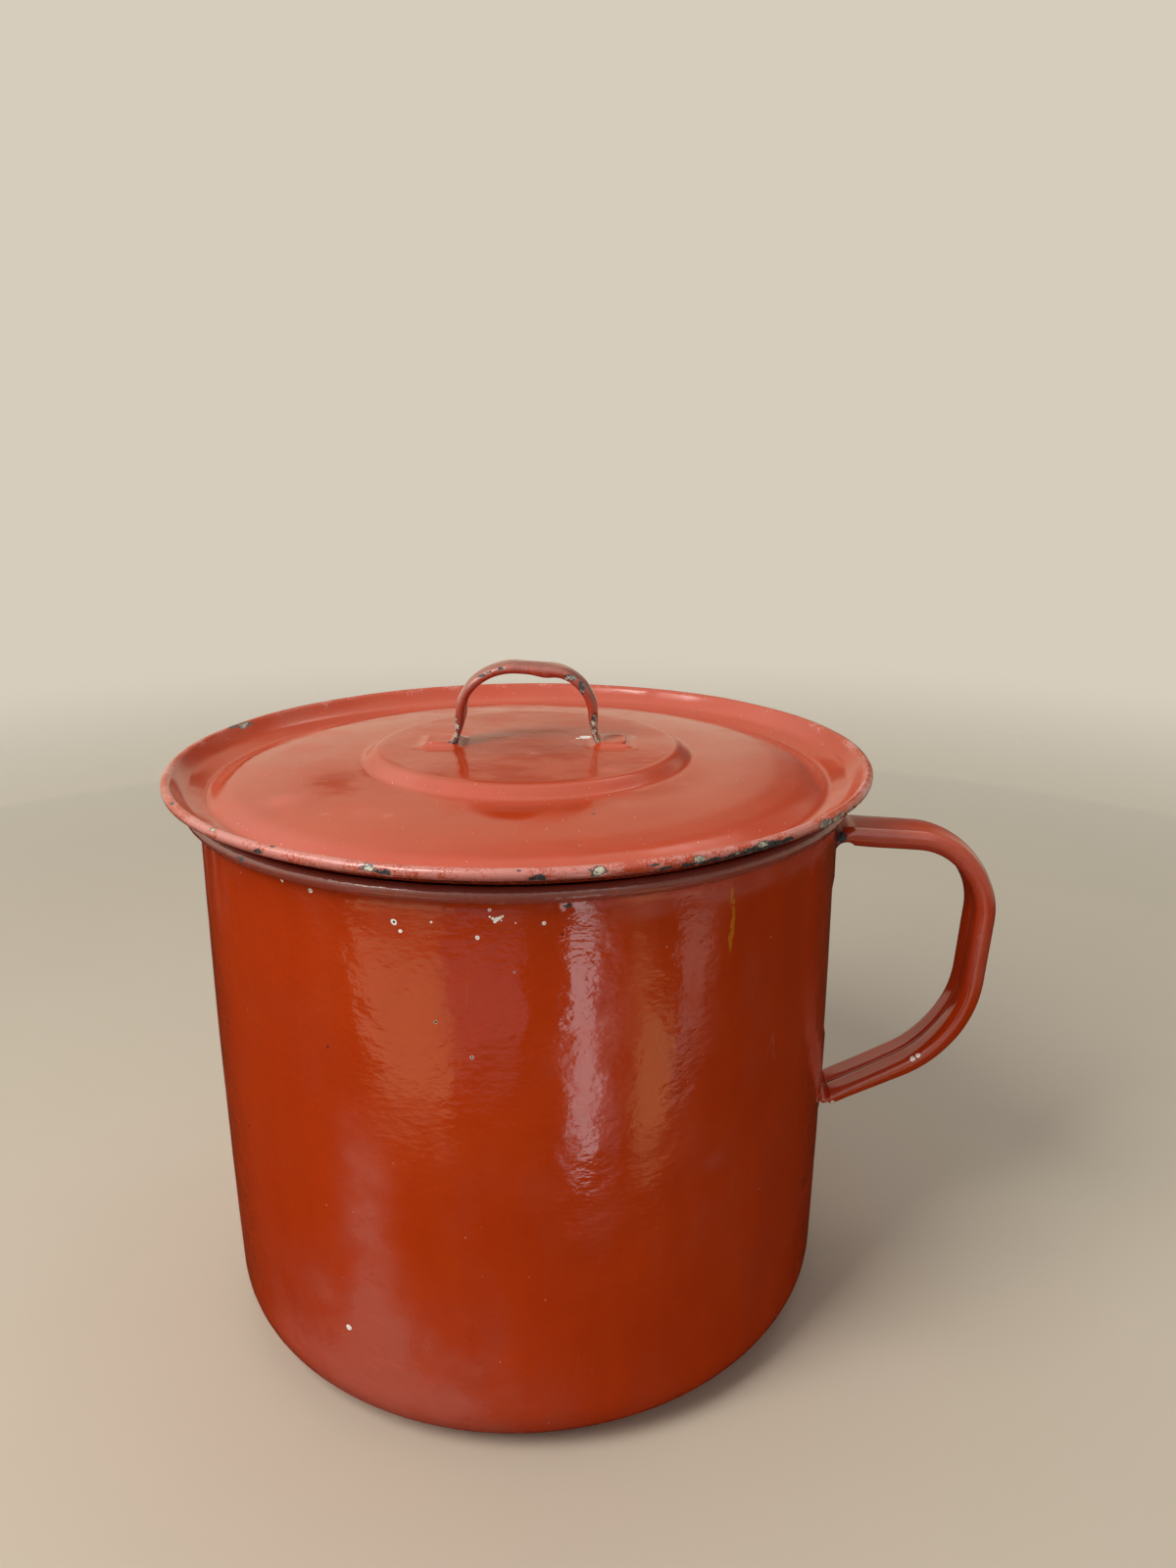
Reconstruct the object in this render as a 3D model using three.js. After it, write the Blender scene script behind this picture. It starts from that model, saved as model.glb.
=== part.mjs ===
import * as THREE from 'three';

// An enamelled steel pot with a rolled strap handle on its side and a stamped lid that lifts off.
// Millimetres, +Z up. The origin is the middle of the face that the pot stands on, and +X points
// towards the side handle. Angles are in degrees.

// Fits
const weldGap = 0.3; // handle tabs to the shell that they are spot-welded to
const seatGap = 0.3; // lid to the rolled rim that it sits on
const lidPlay = 1.0; // room between the lid's plug and the mouth, all round

// Pot: one drawn shell with its mouth rolled outwards into a hollow bead
const potRadius = 90; // outside of the wall at the mouth
const potHeight = 159.3; // standing face to the top of the bead
const potSheet = 1.1; // steel with the enamel on both sides
const wallTaper = 1.1; // how much smaller the radius is at the bottom, for drawing
const wallBulge = 0.9; // how far the middle of the wall swells
const baseCorner = 16; // outside radius between base and wall
const rimFlare = 1.1; // how far the wall eases outwards under the bead
const rimFlareHeight = 4.5;
const rimHollow = 0.9; // radius of the space inside the bead
const rimRollEnd = -100; // where the rolled edge stops, as an angle round the bead's section

// Lid: one stamped shell with a plug that drops into the mouth and an edge curled under
const lidSheet = 0.9;
const lidOverhang = 5.3; // how far the lid's edge stands out past the pot's bead
const lidEdgeRise = 4.7; // middle of the curled edge above the lid's seat
const lidCurlHollow = 0.55; // radius of the space inside the curled edge
const lidCurlStart = 145; // where the flare meets the curl, as an angle round its section
const lidCurlEnd = -100;
const plugDepth = 3.3; // how far the plug reaches below the seat
const plugCorner = 1.2;
const seatCorner = 0.9;
const grooveWidth = 2.7; // flat bottom of the groove between plug and dome
const grooveCorner = 1.5;
const shoulderRun = 3.3; // slope from the groove up to the dome's shoulder
const shoulderRise = 1.7; // shoulder above the lid's seat
const shoulderCorner = 10;
const domeRise = 4.5; // foot of the middle step above the lid's seat
const stepRadius = 46.5; // foot of the middle step
const stepRun = 2.2;
const stepHeight = 3.1;
const stepCorner = 1.6;

// Side handle: a steel strip with its long edges rolled in until they nearly meet
const handleWidth = 16.5;
const handleSheet = 0.9;
const handleSeam = 1.6; // open seam between the two rolled edges
const handleCrown = 0.5; // how far the strip's outer face swells
const gripDepth = 5.9; // strap thickness at the grip
const upperDepth = 5.2; // strap thickness where it meets the wall
const lowerDepth = 3.8;
const tabHollow = 0.3; // space left inside the ends, which are pressed nearly flat
const upperArmDrop = 14.1; // upper arm below the top of the bead
const lowerArmHeight = 52.6; // lower arm above the standing face
const upperTab = 17.2; // length of the tab on the wall, inside the loop
const lowerTab = 28.2;
const upperReach = 51.7; // outer corners of the loop, past the wall
const lowerReach = 47;
const upperFall = 5; // how far the upper arm falls on its way out
const lowerRise = 20.6;
const upperCorner = 26.5;
const lowerCorner = 37.5;
const upperBend = 5; // outer radius where the strap turns onto the wall
const lowerBend = 4.5;

// Lid handle: a narrower strap, bent to an arch with its feet turned outwards
const archWidth = 11;
const archSheet = 0.8;
const archSeam = 2.4;
const archCrown = 0.3;
const archDepth = 2.6;
const archFootHollow = 0.2;
const archSpan = 41.8; // outside of the legs at the lid
const archLean = 0.7; // how far each leg leans inwards up to its knee
const archKnee = 15.2; // where each leg starts to turn, above the lid
const archShoulder = 10.4; // where the turn meets the top, from the middle
const archHeight = 23.9; // top of the arch above the lid
const archKneeCorner = 14.5;
const archShoulderCorner = 16.5;
const archFoot = 8.5; // length of each foot past its leg
const footBend = 1.6;

// Fineness
const roundSteps = 48; // facets round the pot and the lid
const arcTurn = 36; // most that one facet of a small bend turns
const bendTurn = 18; // and of a strap's bend
const lipTurn = 45; // and of a strap's rolled edge
const strapStep = 9; // longest facet along a strap
const wallSteps = 5;
const flareSteps = 4;

const quarter = 90;
const radians = THREE.MathUtils.degToRad;

const at = (x, y, radius = 0) => ({ point: new THREE.Vector2(x, y), radius });

// Points of an arc about (x, y) between two angles, in steps of at most `turn`.
function arcPoints(x, y, radius, from, to, turn) {
  const arc = new THREE.EllipseCurve(x, y, radius, radius, radians(from), radians(to), to < from);
  return arc.getPoints(Math.max(1, Math.ceil(Math.abs(to - from) / turn)));
}

// A line through corners, each rounded by its own radius as far as its two sides allow.
function roundedLine(corners, turn) {
  const line = [corners[0].point];
  for (let i = 1; i < corners.length - 1; i += 1) {
    const corner = corners[i].point;
    const back = corners[i - 1].point.clone().sub(corner);
    const ahead = corners[i + 1].point.clone().sub(corner);
    const half = Math.acos(back.dot(ahead) / (back.length() * ahead.length())) / 2;
    const room = Math.min(back.length(), ahead.length()) * 0.49;
    const reach = Math.min(corners[i].radius / Math.tan(half), room);
    const radius = reach * Math.tan(half);
    if (radius < 1e-6) {
      line.push(corner);
      continue;
    }
    back.normalize();
    ahead.normalize();
    const middle = back.clone().add(ahead).setLength(radius / Math.sin(half)).add(corner);
    const start = back.multiplyScalar(reach).add(corner).sub(middle);
    const end = ahead.multiplyScalar(reach).add(corner).sub(middle);
    const from = THREE.MathUtils.radToDeg(start.angle());
    const sweep = THREE.MathUtils.radToDeg(Math.atan2(start.cross(end), start.dot(end)));
    line.push(...arcPoints(middle.x, middle.y, radius, from, from + sweep, turn));
  }
  line.push(corners[corners.length - 1].point);
  return line;
}

// Unit tangents of a polyline, each the mean of the steps on its two sides.
function tangents(line) {
  return line.map((point, i) => {
    const tangent = new THREE.Vector2();
    if (i > 0) tangent.add(point.clone().sub(line[i - 1]).normalize());
    if (i < line.length - 1) tangent.add(line[i + 1].clone().sub(point).normalize());
    return tangent.normalize();
  });
}

// The closed outline of a sheet of even thickness about its middle line: out along the right
// side and back along the left.
function sheetOutline(line, thickness) {
  const directions = tangents(line);
  const side = (sign) => line.map((point, i) => {
    const next = line[Math.min(i + 1, line.length - 1)];
    const step = i < line.length - 1 ? next.clone().sub(point) : point.clone().sub(line[i - 1]);
    const mitre = step.normalize().dot(directions[i]);
    const normal = new THREE.Vector2(directions[i].y, -directions[i].x);
    return point.clone().addScaledVector(normal, (sign * thickness) / 2 / mitre);
  });
  return [...side(1), ...side(-1).reverse()];
}

// A shell of revolution about +Z from the middle line of its sheet.
function spunShell(line, thickness) {
  const shell = new THREE.LatheGeometry(sheetOutline(line, thickness), roundSteps);
  return shell.rotateX(radians(quarter));
}

// Outside radius of the pot's wall: a taper for drawing and a slight swell.
function wallRadius(z) {
  const up = z / potHeight;
  return potRadius - wallTaper * (1 - up) + wallBulge * 4 * up * (1 - up);
}

const rimRoll = rimHollow + potSheet; // outside radius of the bead's section
const rollMiddle = rimRoll - potSheet / 2;
const rimStart = potHeight - rimRoll - rimFlareHeight;
const wallTop = wallRadius(rimStart);
const beadMiddle = wallTop - potSheet / 2 + rimFlare + rollMiddle;
const beadRadius = beadMiddle + rimRoll;

function potShell() {
  const half = potSheet / 2;
  const cornerMiddle = wallRadius(baseCorner) - baseCorner;
  const line = [new THREE.Vector2(0, half)];
  line.push(...arcPoints(cornerMiddle, baseCorner, baseCorner - half, -quarter, 0, bendTurn));
  for (let i = 1; i <= wallSteps; i += 1) {
    const z = THREE.MathUtils.lerp(baseCorner, rimStart, i / wallSteps);
    line.push(new THREE.Vector2(wallRadius(z) - half, z));
  }
  const flareTop = potHeight - rimRoll;
  const flare = new THREE.CubicBezierCurve(
    line[line.length - 1],
    new THREE.Vector2(wallTop - half, rimStart + rimFlareHeight / 3),
    new THREE.Vector2(beadMiddle - rollMiddle, flareTop - rimFlareHeight / 3),
    new THREE.Vector2(beadMiddle - rollMiddle, flareTop),
  );
  line.push(...flare.getPoints(flareSteps).slice(1, -1));
  line.push(...arcPoints(beadMiddle, flareTop, rollMiddle, 2 * quarter, rimRollEnd, arcTurn));
  return spunShell(line, potSheet);
}

// The lid is drawn from its seat: z = 0 is the underside of the ring that sits on the bead.
const discTop = domeRise + stepHeight + lidSheet;

function lidShell() {
  const half = lidSheet / 2;
  const seatMiddle = half;
  const mouth = wallTop - potSheet;
  const plugMiddle = mouth - lidPlay - half;
  const grooveInside = plugMiddle - grooveWidth;
  const grooveBottom = half - plugDepth;
  const line = roundedLine([
    at(0, seatMiddle + domeRise + stepHeight),
    at(stepRadius - stepRun, seatMiddle + domeRise + stepHeight, stepCorner),
    at(stepRadius, seatMiddle + domeRise, stepCorner),
    at(grooveInside - shoulderRun, seatMiddle + shoulderRise, shoulderCorner),
    at(grooveInside, grooveBottom, grooveCorner),
    at(plugMiddle, grooveBottom, plugCorner),
    at(plugMiddle, seatMiddle, seatCorner),
    at(beadMiddle, seatMiddle),
  ], arcTurn);
  const curlMiddle = lidCurlHollow + half;
  const curlCentre = new THREE.Vector2(beadRadius + lidOverhang - curlMiddle - half, lidEdgeRise);
  const curl = arcPoints(curlCentre.x, curlCentre.y, curlMiddle, lidCurlStart, lidCurlEnd, arcTurn);
  const slope = Math.tan(radians(lidCurlStart - quarter));
  const bendAt = curl[0].x - (curl[0].y - seatMiddle) / slope;
  const flare = new THREE.QuadraticBezierCurve(
    line[line.length - 1],
    new THREE.Vector2(Math.max(bendAt, beadMiddle), seatMiddle),
    curl[0],
  );
  line.push(...flare.getPoints(flareSteps).slice(1, -1), ...curl);
  return spunShell(line, lidSheet);
}

// The section of a rolled strap: u runs across it and v from its outer face to its seam. The
// edges are turned over until only the seam is left between them.
function strapSection(width, depth, sheet, seam, crown) {
  const outer = depth / 2;
  const inner = outer - sheet;
  const edge = width / 2 - outer;
  const lips = (radius, sign) => arcPoints(
    sign * edge,
    outer,
    radius,
    sign * quarter,
    sign > 0 ? -quarter : -3 * quarter,
    lipTurn,
  );
  const round = (radius) => [
    new THREE.Vector2(seam / 2, outer + radius),
    ...lips(radius, 1),
    new THREE.Vector2(0, outer - radius - crown),
    ...lips(radius, -1),
    new THREE.Vector2(-seam / 2, outer + radius),
  ];
  return [...round(outer), ...round(inner).reverse()];
}

// A strap carried along its outer face, a line in the XZ plane with the seam on its right. The
// section changes along the way, and `wrap` bends it round a wall of that radius.
function strapGeometry(line, sectionAt, wrapAt) {
  const directions = tangents(line);
  const positions = [];
  const faces = [];
  const sections = line.map((point, i) => sectionAt(i));
  const count = sections[0].length;
  line.forEach((point, i) => {
    const wrap = wrapAt(i);
    const direction = directions[i];
    for (const { x: u, y: v } of sections[i]) {
      const inwards = v - wrap.share * (wrap.radius - Math.sqrt(wrap.radius ** 2 - u ** 2));
      positions.push(point.x + direction.y * inwards, u, point.y - direction.x * inwards);
    }
  });
  for (let i = 0; i < line.length - 1; i += 1) {
    for (let j = 0; j < count; j += 1) {
      const a = i * count + j;
      const b = i * count + ((j + 1) % count);
      faces.push(a, b, a + count, b, b + count, a + count);
    }
  }
  // Each end is closed between the section's outside, listed first, and its inside, listed back.
  const last = (line.length - 1) * count;
  for (let j = 0; j < count / 2 - 1; j += 1) {
    const [a, b, c, d] = [j, j + 1, count - 2 - j, count - 1 - j];
    faces.push(a, c, b, a, d, c);
    faces.push(last + a, last + b, last + c, last + a, last + c, last + d);
  }
  const strap = new THREE.BufferGeometry();
  strap.setAttribute('position', new THREE.Float32BufferAttribute(positions, 3));
  strap.setIndex(faces);
  strap.computeVertexNormals();
  return strap;
}

const lengthAlong = (line) => line.reduce(
  (total, point, i) => [...total, i ? total[i - 1] + point.distanceTo(line[i - 1]) : 0],
  [],
);

// A copy of a line with no step longer than `step`.
function divided(line, step) {
  return line.flatMap((point, i) => {
    if (i === line.length - 1) return [point];
    const parts = Math.ceil(point.distanceTo(line[i + 1]) / step);
    return Array.from({ length: parts }, (_, k) => point.clone().lerp(line[i + 1], k / parts));
  });
}

// A value that moves smoothly through [distance, value] stops along a strap.
function along(stops, distance) {
  const next = stops.findIndex(([where]) => where >= distance);
  if (next < 0) return stops[stops.length - 1][1];
  if (next === 0) return stops[0][1];
  const [startAt, start] = stops[next - 1];
  const [endAt, end] = stops[next];
  return THREE.MathUtils.lerp(start, end, THREE.MathUtils.smoothstep(distance, startAt, endAt));
}

function sideHandle() {
  const tabDepth = 2 * handleSheet + tabHollow;
  const upperZ = potHeight - upperArmDrop;
  const lowerZ = lowerArmHeight;
  const onWall = (z) => wallRadius(z) + weldGap;
  const line = divided(roundedLine([
    at(onWall(upperZ - upperTab), upperZ - upperTab),
    at(onWall(upperZ), upperZ, upperBend),
    at(potRadius + upperReach, upperZ - upperFall, upperCorner),
    at(potRadius + lowerReach, lowerZ + lowerRise, lowerCorner),
    at(onWall(lowerZ), lowerZ, lowerBend),
    at(onWall(lowerZ + lowerTab), lowerZ + lowerTab),
  ], bendTurn), strapStep);
  const distances = lengthAlong(line);
  const total = distances[distances.length - 1];
  const depths = [
    [upperTab - upperBend, tabDepth],
    [upperTab + upperBend, upperDepth],
    [upperTab + upperReach, gripDepth],
    [total - lowerTab - lowerReach, gripDepth],
    [total - lowerTab, lowerDepth],
    [total - lowerTab + lowerBend, tabDepth],
  ];
  const wraps = [
    [upperTab - upperBend, 1],
    [upperTab + 2 * upperBend, 0],
    [total - lowerTab - 2 * lowerBend, 0],
    [total - lowerTab + lowerBend, 1],
  ];
  const sectionAt = (i) => {
    const depth = along(depths, distances[i]);
    const crown = handleCrown * (1 - along(wraps, distances[i]));
    return strapSection(handleWidth, depth, handleSheet, handleSeam, crown);
  };
  const wrapAt = (i) => ({ radius: onWall(line[i].y), share: along(wraps, distances[i]) });
  return strapGeometry(line, sectionAt, wrapAt);
}

// The arch is drawn from the middle of the lid's flat disc, where its feet are welded.
function lidHandle() {
  const footDepth = 2 * archSheet + archFootHollow;
  const footTop = weldGap + footDepth;
  const leg = archSpan / 2;
  const line = divided(roundedLine([
    at(-leg - archFoot, footTop),
    at(-leg, footTop, footBend),
    at(archLean - leg, archKnee, archKneeCorner),
    at(-archShoulder, archHeight, archShoulderCorner),
    at(archShoulder, archHeight, archShoulderCorner),
    at(leg - archLean, archKnee, archKneeCorner),
    at(leg, footTop, footBend),
    at(leg + archFoot, footTop),
  ], bendTurn), strapStep);
  const distances = lengthAlong(line);
  const total = distances[distances.length - 1];
  const depths = [
    [archFoot - footBend, footDepth],
    [archFoot + archKnee / 2, archDepth],
    [total - archFoot - archKnee / 2, archDepth],
    [total - archFoot + footBend, footDepth],
  ];
  const crowns = depths.map(([where, depth]) => [where, depth === archDepth ? archCrown : 0]);
  const sectionAt = (i) => strapSection(
    archWidth,
    along(depths, distances[i]),
    archSheet,
    archSeam,
    along(crowns, distances[i]),
  );
  return strapGeometry(line, sectionAt, () => ({ radius: archWidth, share: 0 }));
}

const enamel = (color, roughness) => new THREE.MeshStandardMaterial({ color, roughness, metalness: 0 });

function piece(name, geometry, material) {
  const mesh = new THREE.Mesh(geometry, material);
  mesh.name = name;
  return mesh;
}

const pot = new THREE.Group();
pot.add(piece('pot_body', potShell(), enamel(0x9c2a14, 0.22)));
pot.add(piece('side_handle', sideHandle(), enamel(0xa32f18, 0.25)));

const lid = new THREE.Group();
lid.position.z = potHeight + seatGap;
lid.add(piece('lid_shell', lidShell(), enamel(0xb04028, 0.25)));
const arch = piece('lid_handle', lidHandle(), enamel(0xa84a36, 0.3));
arch.position.z = discTop;
lid.add(arch);

const coveredPot = new THREE.Group();
coveredPot.add(pot, lid);

export default coveredPot;
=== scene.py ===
import math

import bpy
import numpy as np
from mathutils import Matrix, Vector


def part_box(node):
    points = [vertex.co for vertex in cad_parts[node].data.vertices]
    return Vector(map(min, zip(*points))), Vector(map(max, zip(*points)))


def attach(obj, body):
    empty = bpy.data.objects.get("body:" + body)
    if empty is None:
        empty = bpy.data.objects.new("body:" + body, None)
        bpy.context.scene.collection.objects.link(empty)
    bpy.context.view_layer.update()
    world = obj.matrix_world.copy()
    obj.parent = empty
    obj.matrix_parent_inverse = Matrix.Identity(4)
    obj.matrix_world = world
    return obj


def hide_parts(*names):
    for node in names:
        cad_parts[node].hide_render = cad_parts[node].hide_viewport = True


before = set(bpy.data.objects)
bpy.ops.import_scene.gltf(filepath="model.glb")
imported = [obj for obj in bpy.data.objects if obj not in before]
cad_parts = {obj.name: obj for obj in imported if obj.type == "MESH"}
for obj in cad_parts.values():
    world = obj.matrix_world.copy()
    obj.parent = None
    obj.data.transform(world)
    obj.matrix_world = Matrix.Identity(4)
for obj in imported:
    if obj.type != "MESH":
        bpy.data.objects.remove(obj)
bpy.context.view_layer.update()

# An enamelled steel pot and its lid. Shapes are worked out in millimetres as grids of points, with
# every row a closed loop, and are made in metres. Angles in the dictionaries are in degrees.
mm = 0.001


# A CAD node's highest corner in millimetres: its box's second corner in metres over 0.001.
def topCorner(node):
    return np.array(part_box(node)[1]) / mm


# An arc: the centre plus the radius times the cosine and sine of evenly spaced angles.
def arc(x, y, radius, start, end, count):
    angles = np.radians(np.linspace(start, end, count))
    return np.column_stack([x + radius * np.cos(angles), y + radius * np.sin(angles)])


# A line through corners (x, y, radius): each corner is bridged by the arc that touches both its
# sides, which starts radius / tan(half the corner's angle) before it.
def roundedLine(corners):
    line = [np.array(corners[0][:2])]
    for before, corner, after in zip(corners, corners[1:], corners[2:]):
        here = np.array(corner[:2])
        back = np.array(before[:2]) - here
        ahead = np.array(after[:2]) - here
        backLength, aheadLength = np.linalg.norm(back), np.linalg.norm(ahead)
        half = math.acos(back @ ahead / (backLength * aheadLength)) / 2
        reach = min(corner[2] / math.tan(half), 0.49 * min(backLength, aheadLength))
        radius = reach * math.tan(half)
        back, ahead = back / backLength, ahead / aheadLength
        middle = here + (back + ahead) / np.linalg.norm(back + ahead) * radius / math.sin(half)
        start, end = here + back * reach - middle, here + ahead * reach - middle
        first = math.degrees(math.atan2(start[1], start[0]))
        sweep = math.degrees(math.atan2(start[0] * end[1] - start[1] * end[0], start @ end))
        line.extend(arc(*middle, radius, first, first + sweep, 40))
    line.append(np.array(corners[-1][:2]))
    return np.array(line)


# A Bezier curve: its control points weighted by the binomial terms of t and 1 - t.
def bezier(controls, count):
    t = np.linspace(0, 1, count)[:, None]
    last = len(controls) - 1
    terms = [math.comb(last, i) * t ** i * (1 - t) ** (last - i) for i in range(last + 1)]
    return sum(term * np.array(control) for term, control in zip(terms, controls))


# Unit steps of a line, averaged at each point from the steps on its two sides.
def tangents(line):
    steps = np.diff(line, axis=0)
    steps = steps / np.maximum(np.linalg.norm(steps, axis=1, keepdims=True), 1e-9)
    mean = np.vstack([steps[:1], steps[:-1] + steps[1:], steps[-1:]])
    return mean / np.linalg.norm(mean, axis=1, keepdims=True)


# Distance along a line at each of its points: the running sum of its steps.
def lengths(line):
    return np.concatenate([[0], np.cumsum(np.linalg.norm(np.diff(line, axis=0), axis=1))])


# A line read at `count` points spaced evenly in its length plus bendWeight times the angle that it
# has turned, so that bends get more of them.
def resampled(line, count, bendWeight=0.0):
    line = line[np.concatenate([[True], np.linalg.norm(np.diff(line, axis=0), axis=1) > 1e-6])]
    headings = np.unwrap(np.arctan2(*np.diff(line, axis=0).T[::-1]))
    turned = np.concatenate([[0], np.cumsum(np.abs(np.diff(headings))), [0]])
    turned[-1] = turned[-2]
    measure = lengths(line) + bendWeight * turned
    wanted = np.linspace(0, measure[-1], count)
    return np.column_stack([np.interp(wanted, measure, line[:, i]) for i in range(2)])


# How a sheet thins to a blunt edge: the root of 1 - 0.9 (1 - d)^2, where d is the distance to the
# edge in half thicknesses, up to 1.
def blunted(distance):
    return np.sqrt(1 - 0.9 * np.clip(1 - distance, 0, 1) ** 2)


# Both faces of a sheet: its middle line moved half the thickness to the right and to the left, with
# a blunt edge at the line's end.
def sheetFaces(middle, thickness):
    along = tangents(middle)
    right = np.column_stack([along[:, 1], -along[:, 0]])
    toEnd = (lengths(middle)[-1] - lengths(middle)) / (thickness / 2)
    half = thickness / 2 * blunted(toEnd)[:, None]
    return middle + right * half, middle - right * half


# A profile (r, z) spun about Z: the point at row i and column j is the profile's point i turned by
# j steps.
def spun(profile, turns):
    angles = np.linspace(0, 2 * np.pi, turns, endpoint=False)
    radius, height = profile[:, :1], profile[:, 1:]
    return np.stack(np.broadcast_arrays(radius * np.cos(angles), radius * np.sin(angles), height), -1)


# A section (u across, v inwards from the outer face) carried along a path in the XZ plane, with
# the loop's inside on the path's right.
def carried(path, u, v):
    along = tangents(path)
    x = path[:, :1] + along[:, 1:] * v
    z = path[:, 1:] - along[:, :1] * v
    return np.stack([x, u, z], -1)


# Outward unit normals of a grid: the cross product of its row and column steps, turned so that
# the volume inside comes out positive.
def outward(grid):
    alongRows = np.gradient(grid, axis=0)
    alongLoop = np.roll(grid, -1, 1) - np.roll(grid, 1, 1)
    normals = np.cross(alongRows, alongLoop)
    normals = normals * np.sign(np.sum(normals * grid))
    return normals / np.maximum(np.linalg.norm(normals, axis=-1, keepdims=True), 1e-12)


# Smooth noise from about -1 to 1: a sum of cosines of the position along random directions, all
# near one wavelength, so it has no seam.
def waves(points, wavelength, seed, count=26):
    random = np.random.default_rng(seed)
    directions = random.normal(size=(3, count))
    directions /= np.linalg.norm(directions, axis=0)
    turnsPerUnit = random.uniform(0.7, 1.4, count) / wavelength
    swing = np.cos(2 * np.pi * (points @ directions * turnsPerUnit + random.uniform(0, 1, count)))
    return swing.sum(-1) / math.sqrt(2 * count)


# A smooth step from 0 at low to 1 at high: 3t^2 - 2t^3 of the share t between them.
def smooth(value, low, high):
    share = np.clip((value - low) / (high - low), 0, 1)
    return share * share * (3 - 2 * share)


# 1 between two marks: it comes in over the first pair of values and goes out over the second.
def between(value, comesIn, goesOut):
    return smooth(value, *comesIn) * (1 - smooth(value, *goesOut))


# A bell: e to the power of minus (offset / spread) squared.
def bell(offset, spread):
    return np.exp(-(offset / spread) ** 2)


# The turn from one azimuth to another in degrees, from -180 to 180: their difference plus 180,
# modulo 360, less 180.
def turnBetween(azimuth, other):
    return (azimuth - other + 180) % 360 - 180


# Points of a round piece laid out flat: the way round at a radius, the radius and the height.
def unrolled(azimuth, radius, height, at):
    return np.stack(np.broadcast_arrays(np.radians(azimuth) * at, radius, height), -1)


# A sheet spun about Z from its outer and inner face, of which the inner has every other row: the
# grid, 1 at its inner points, and its radii and azimuths.
def turnedSheet(outer, inner, turns):
    grid = spun(np.vstack([outer, inner[::-2]]), turns)
    isInner = np.zeros(grid.shape[:2])
    isInner[len(outer):] = 1
    return grid, isInner, np.hypot(*grid.T[:2]).T, np.degrees(np.arctan2(*grid.T[1::-1])).T


# The dents and ripples of a pressed sheet: two sizes of waves, each times its own height.
def pressed(grid, look, seed):
    dents = look["dent"] * (waves(grid, look["dentLength"], seed) - look["dentBias"])
    return dents + look["ripple"] * waves(grid, look["rippleLength"], seed + 1)


# A grid with each point moved outwards by its own distance.
def raised(grid, proud):
    return grid + outward(grid) * proud[..., None]


# How far inside a chip each point is: 1 less the distance to its centre, with the distance along
# the chip measured in its half length and across it in its half width. The deepest chip counts.
def chipDepth(points, chips, place):
    depth, pale = np.full(points.shape[:2], -1.0), np.zeros(points.shape[:2])
    for where, length, width, paleness in chips:
        centre, direction = place(*where)
        offset = points - centre
        along = offset @ direction
        across = np.sqrt(np.maximum((offset ** 2).sum(-1) - along ** 2, 0))
        inside = 1 - np.sqrt((along / (length / 2)) ** 2 + (across / (width / 2)) ** 2)
        pale = np.where(inside > depth, paleness, pale)
        depth = np.maximum(depth, inside)
    return depth, pale


# The numbers of a grid's points, the same moved on by one along each loop, and the quads between
# each loop and the next.
def gridQuads(grid):
    index = np.arange(grid[..., 0].size).reshape(grid.shape[:2])
    turned = np.roll(index, -1, 1)
    return index, turned, np.stack([index[:-1], turned[:-1], turned[1:], index[1:]], -1).reshape(-1, 4)


# An object of the scene that carries a mesh, a lamp or a camera.
def newObject(name, data):
    made = bpy.data.objects.new(name, data)
    bpy.context.scene.collection.objects.link(made)
    return made


# A piece's chips, from its points laid out as its chips' places are: the depth inside them, made
# ragged by fine waves of the piece itself, and their paleness.
def raggedChips(points, grid, look, place):
    depth, pale = chipDepth(points, look["chips"], place)
    return depth + look["chipRagged"] * waves(grid, look["chipGrain"], look["chipSeed"]), pale


# A closed mesh from a grid of loops. "poles" closes its two ends with fans, and "edges" bridges
# each end loop's first half to its second half, as a sheet's cut edge. The faces are turned round if
# the volume inside, a sum of a . (b x c) over triangles, comes out negative. The piece gets its fields
# as attributes and an enamel that reads them; it hangs under its look's body, and its look's CAD node is
# hidden.
def makePiece(name, grid, fields, ends, look):
    index, turned, quads = gridQuads(grid)
    count, columns = index.size, index.shape[1]
    points = grid.reshape(-1, 3)
    values = {key: field.reshape(-1) for key, field in fields.items()}
    if ends == "poles":
        points = np.vstack([points, grid[0].mean(0), grid[-1].mean(0)])
        values = {key: np.append(value, [fields[key][0].mean(), fields[key][-1].mean()])
                  for key, value in values.items()}
        closing = np.vstack([np.column_stack([turned[0], index[0], np.full(columns, count)]),
                             np.column_stack([index[-1], turned[-1], np.full(columns, count + 1)])])
    else:
        half = columns // 2
        near, far = index[0], index[-1]
        closing = np.vstack([
            np.column_stack([near[1:half], near[:half - 1], near[:half:-1], near[-2:half - 1:-1]]),
            np.column_stack([far[:half - 1], far[1:half], far[-2:half - 1:-1], far[:half:-1]]),
        ])
    a, b, c = np.moveaxis(points[np.vstack([quads[:, :3], quads[:, [0, 2, 3]], closing[:, :3]])], 1, 0)
    order = slice(None, None, 1 if np.sum(a * np.cross(b, c)) > 0 else -1)
    mesh = bpy.data.meshes.new(name)
    mesh.from_pydata((points * mm).tolist(), [], quads[:, order].tolist() + closing[:, order].tolist())
    mesh.polygons.foreach_set("use_smooth", np.ones(len(mesh.polygons), bool))
    for key, value in values.items():
        layer = mesh.attributes.new(key, "FLOAT", "POINT")
        layer.data.foreach_set("value", value.astype(np.float32))
    mesh.materials.append(enamelMaterial(look["glaze"], fields, look))
    mesh.validate()
    piece = newObject(name, mesh)
    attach(piece, look["body"])
    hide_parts(look["node"])
    print(name, "made:", len(mesh.polygons), "faces")


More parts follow.
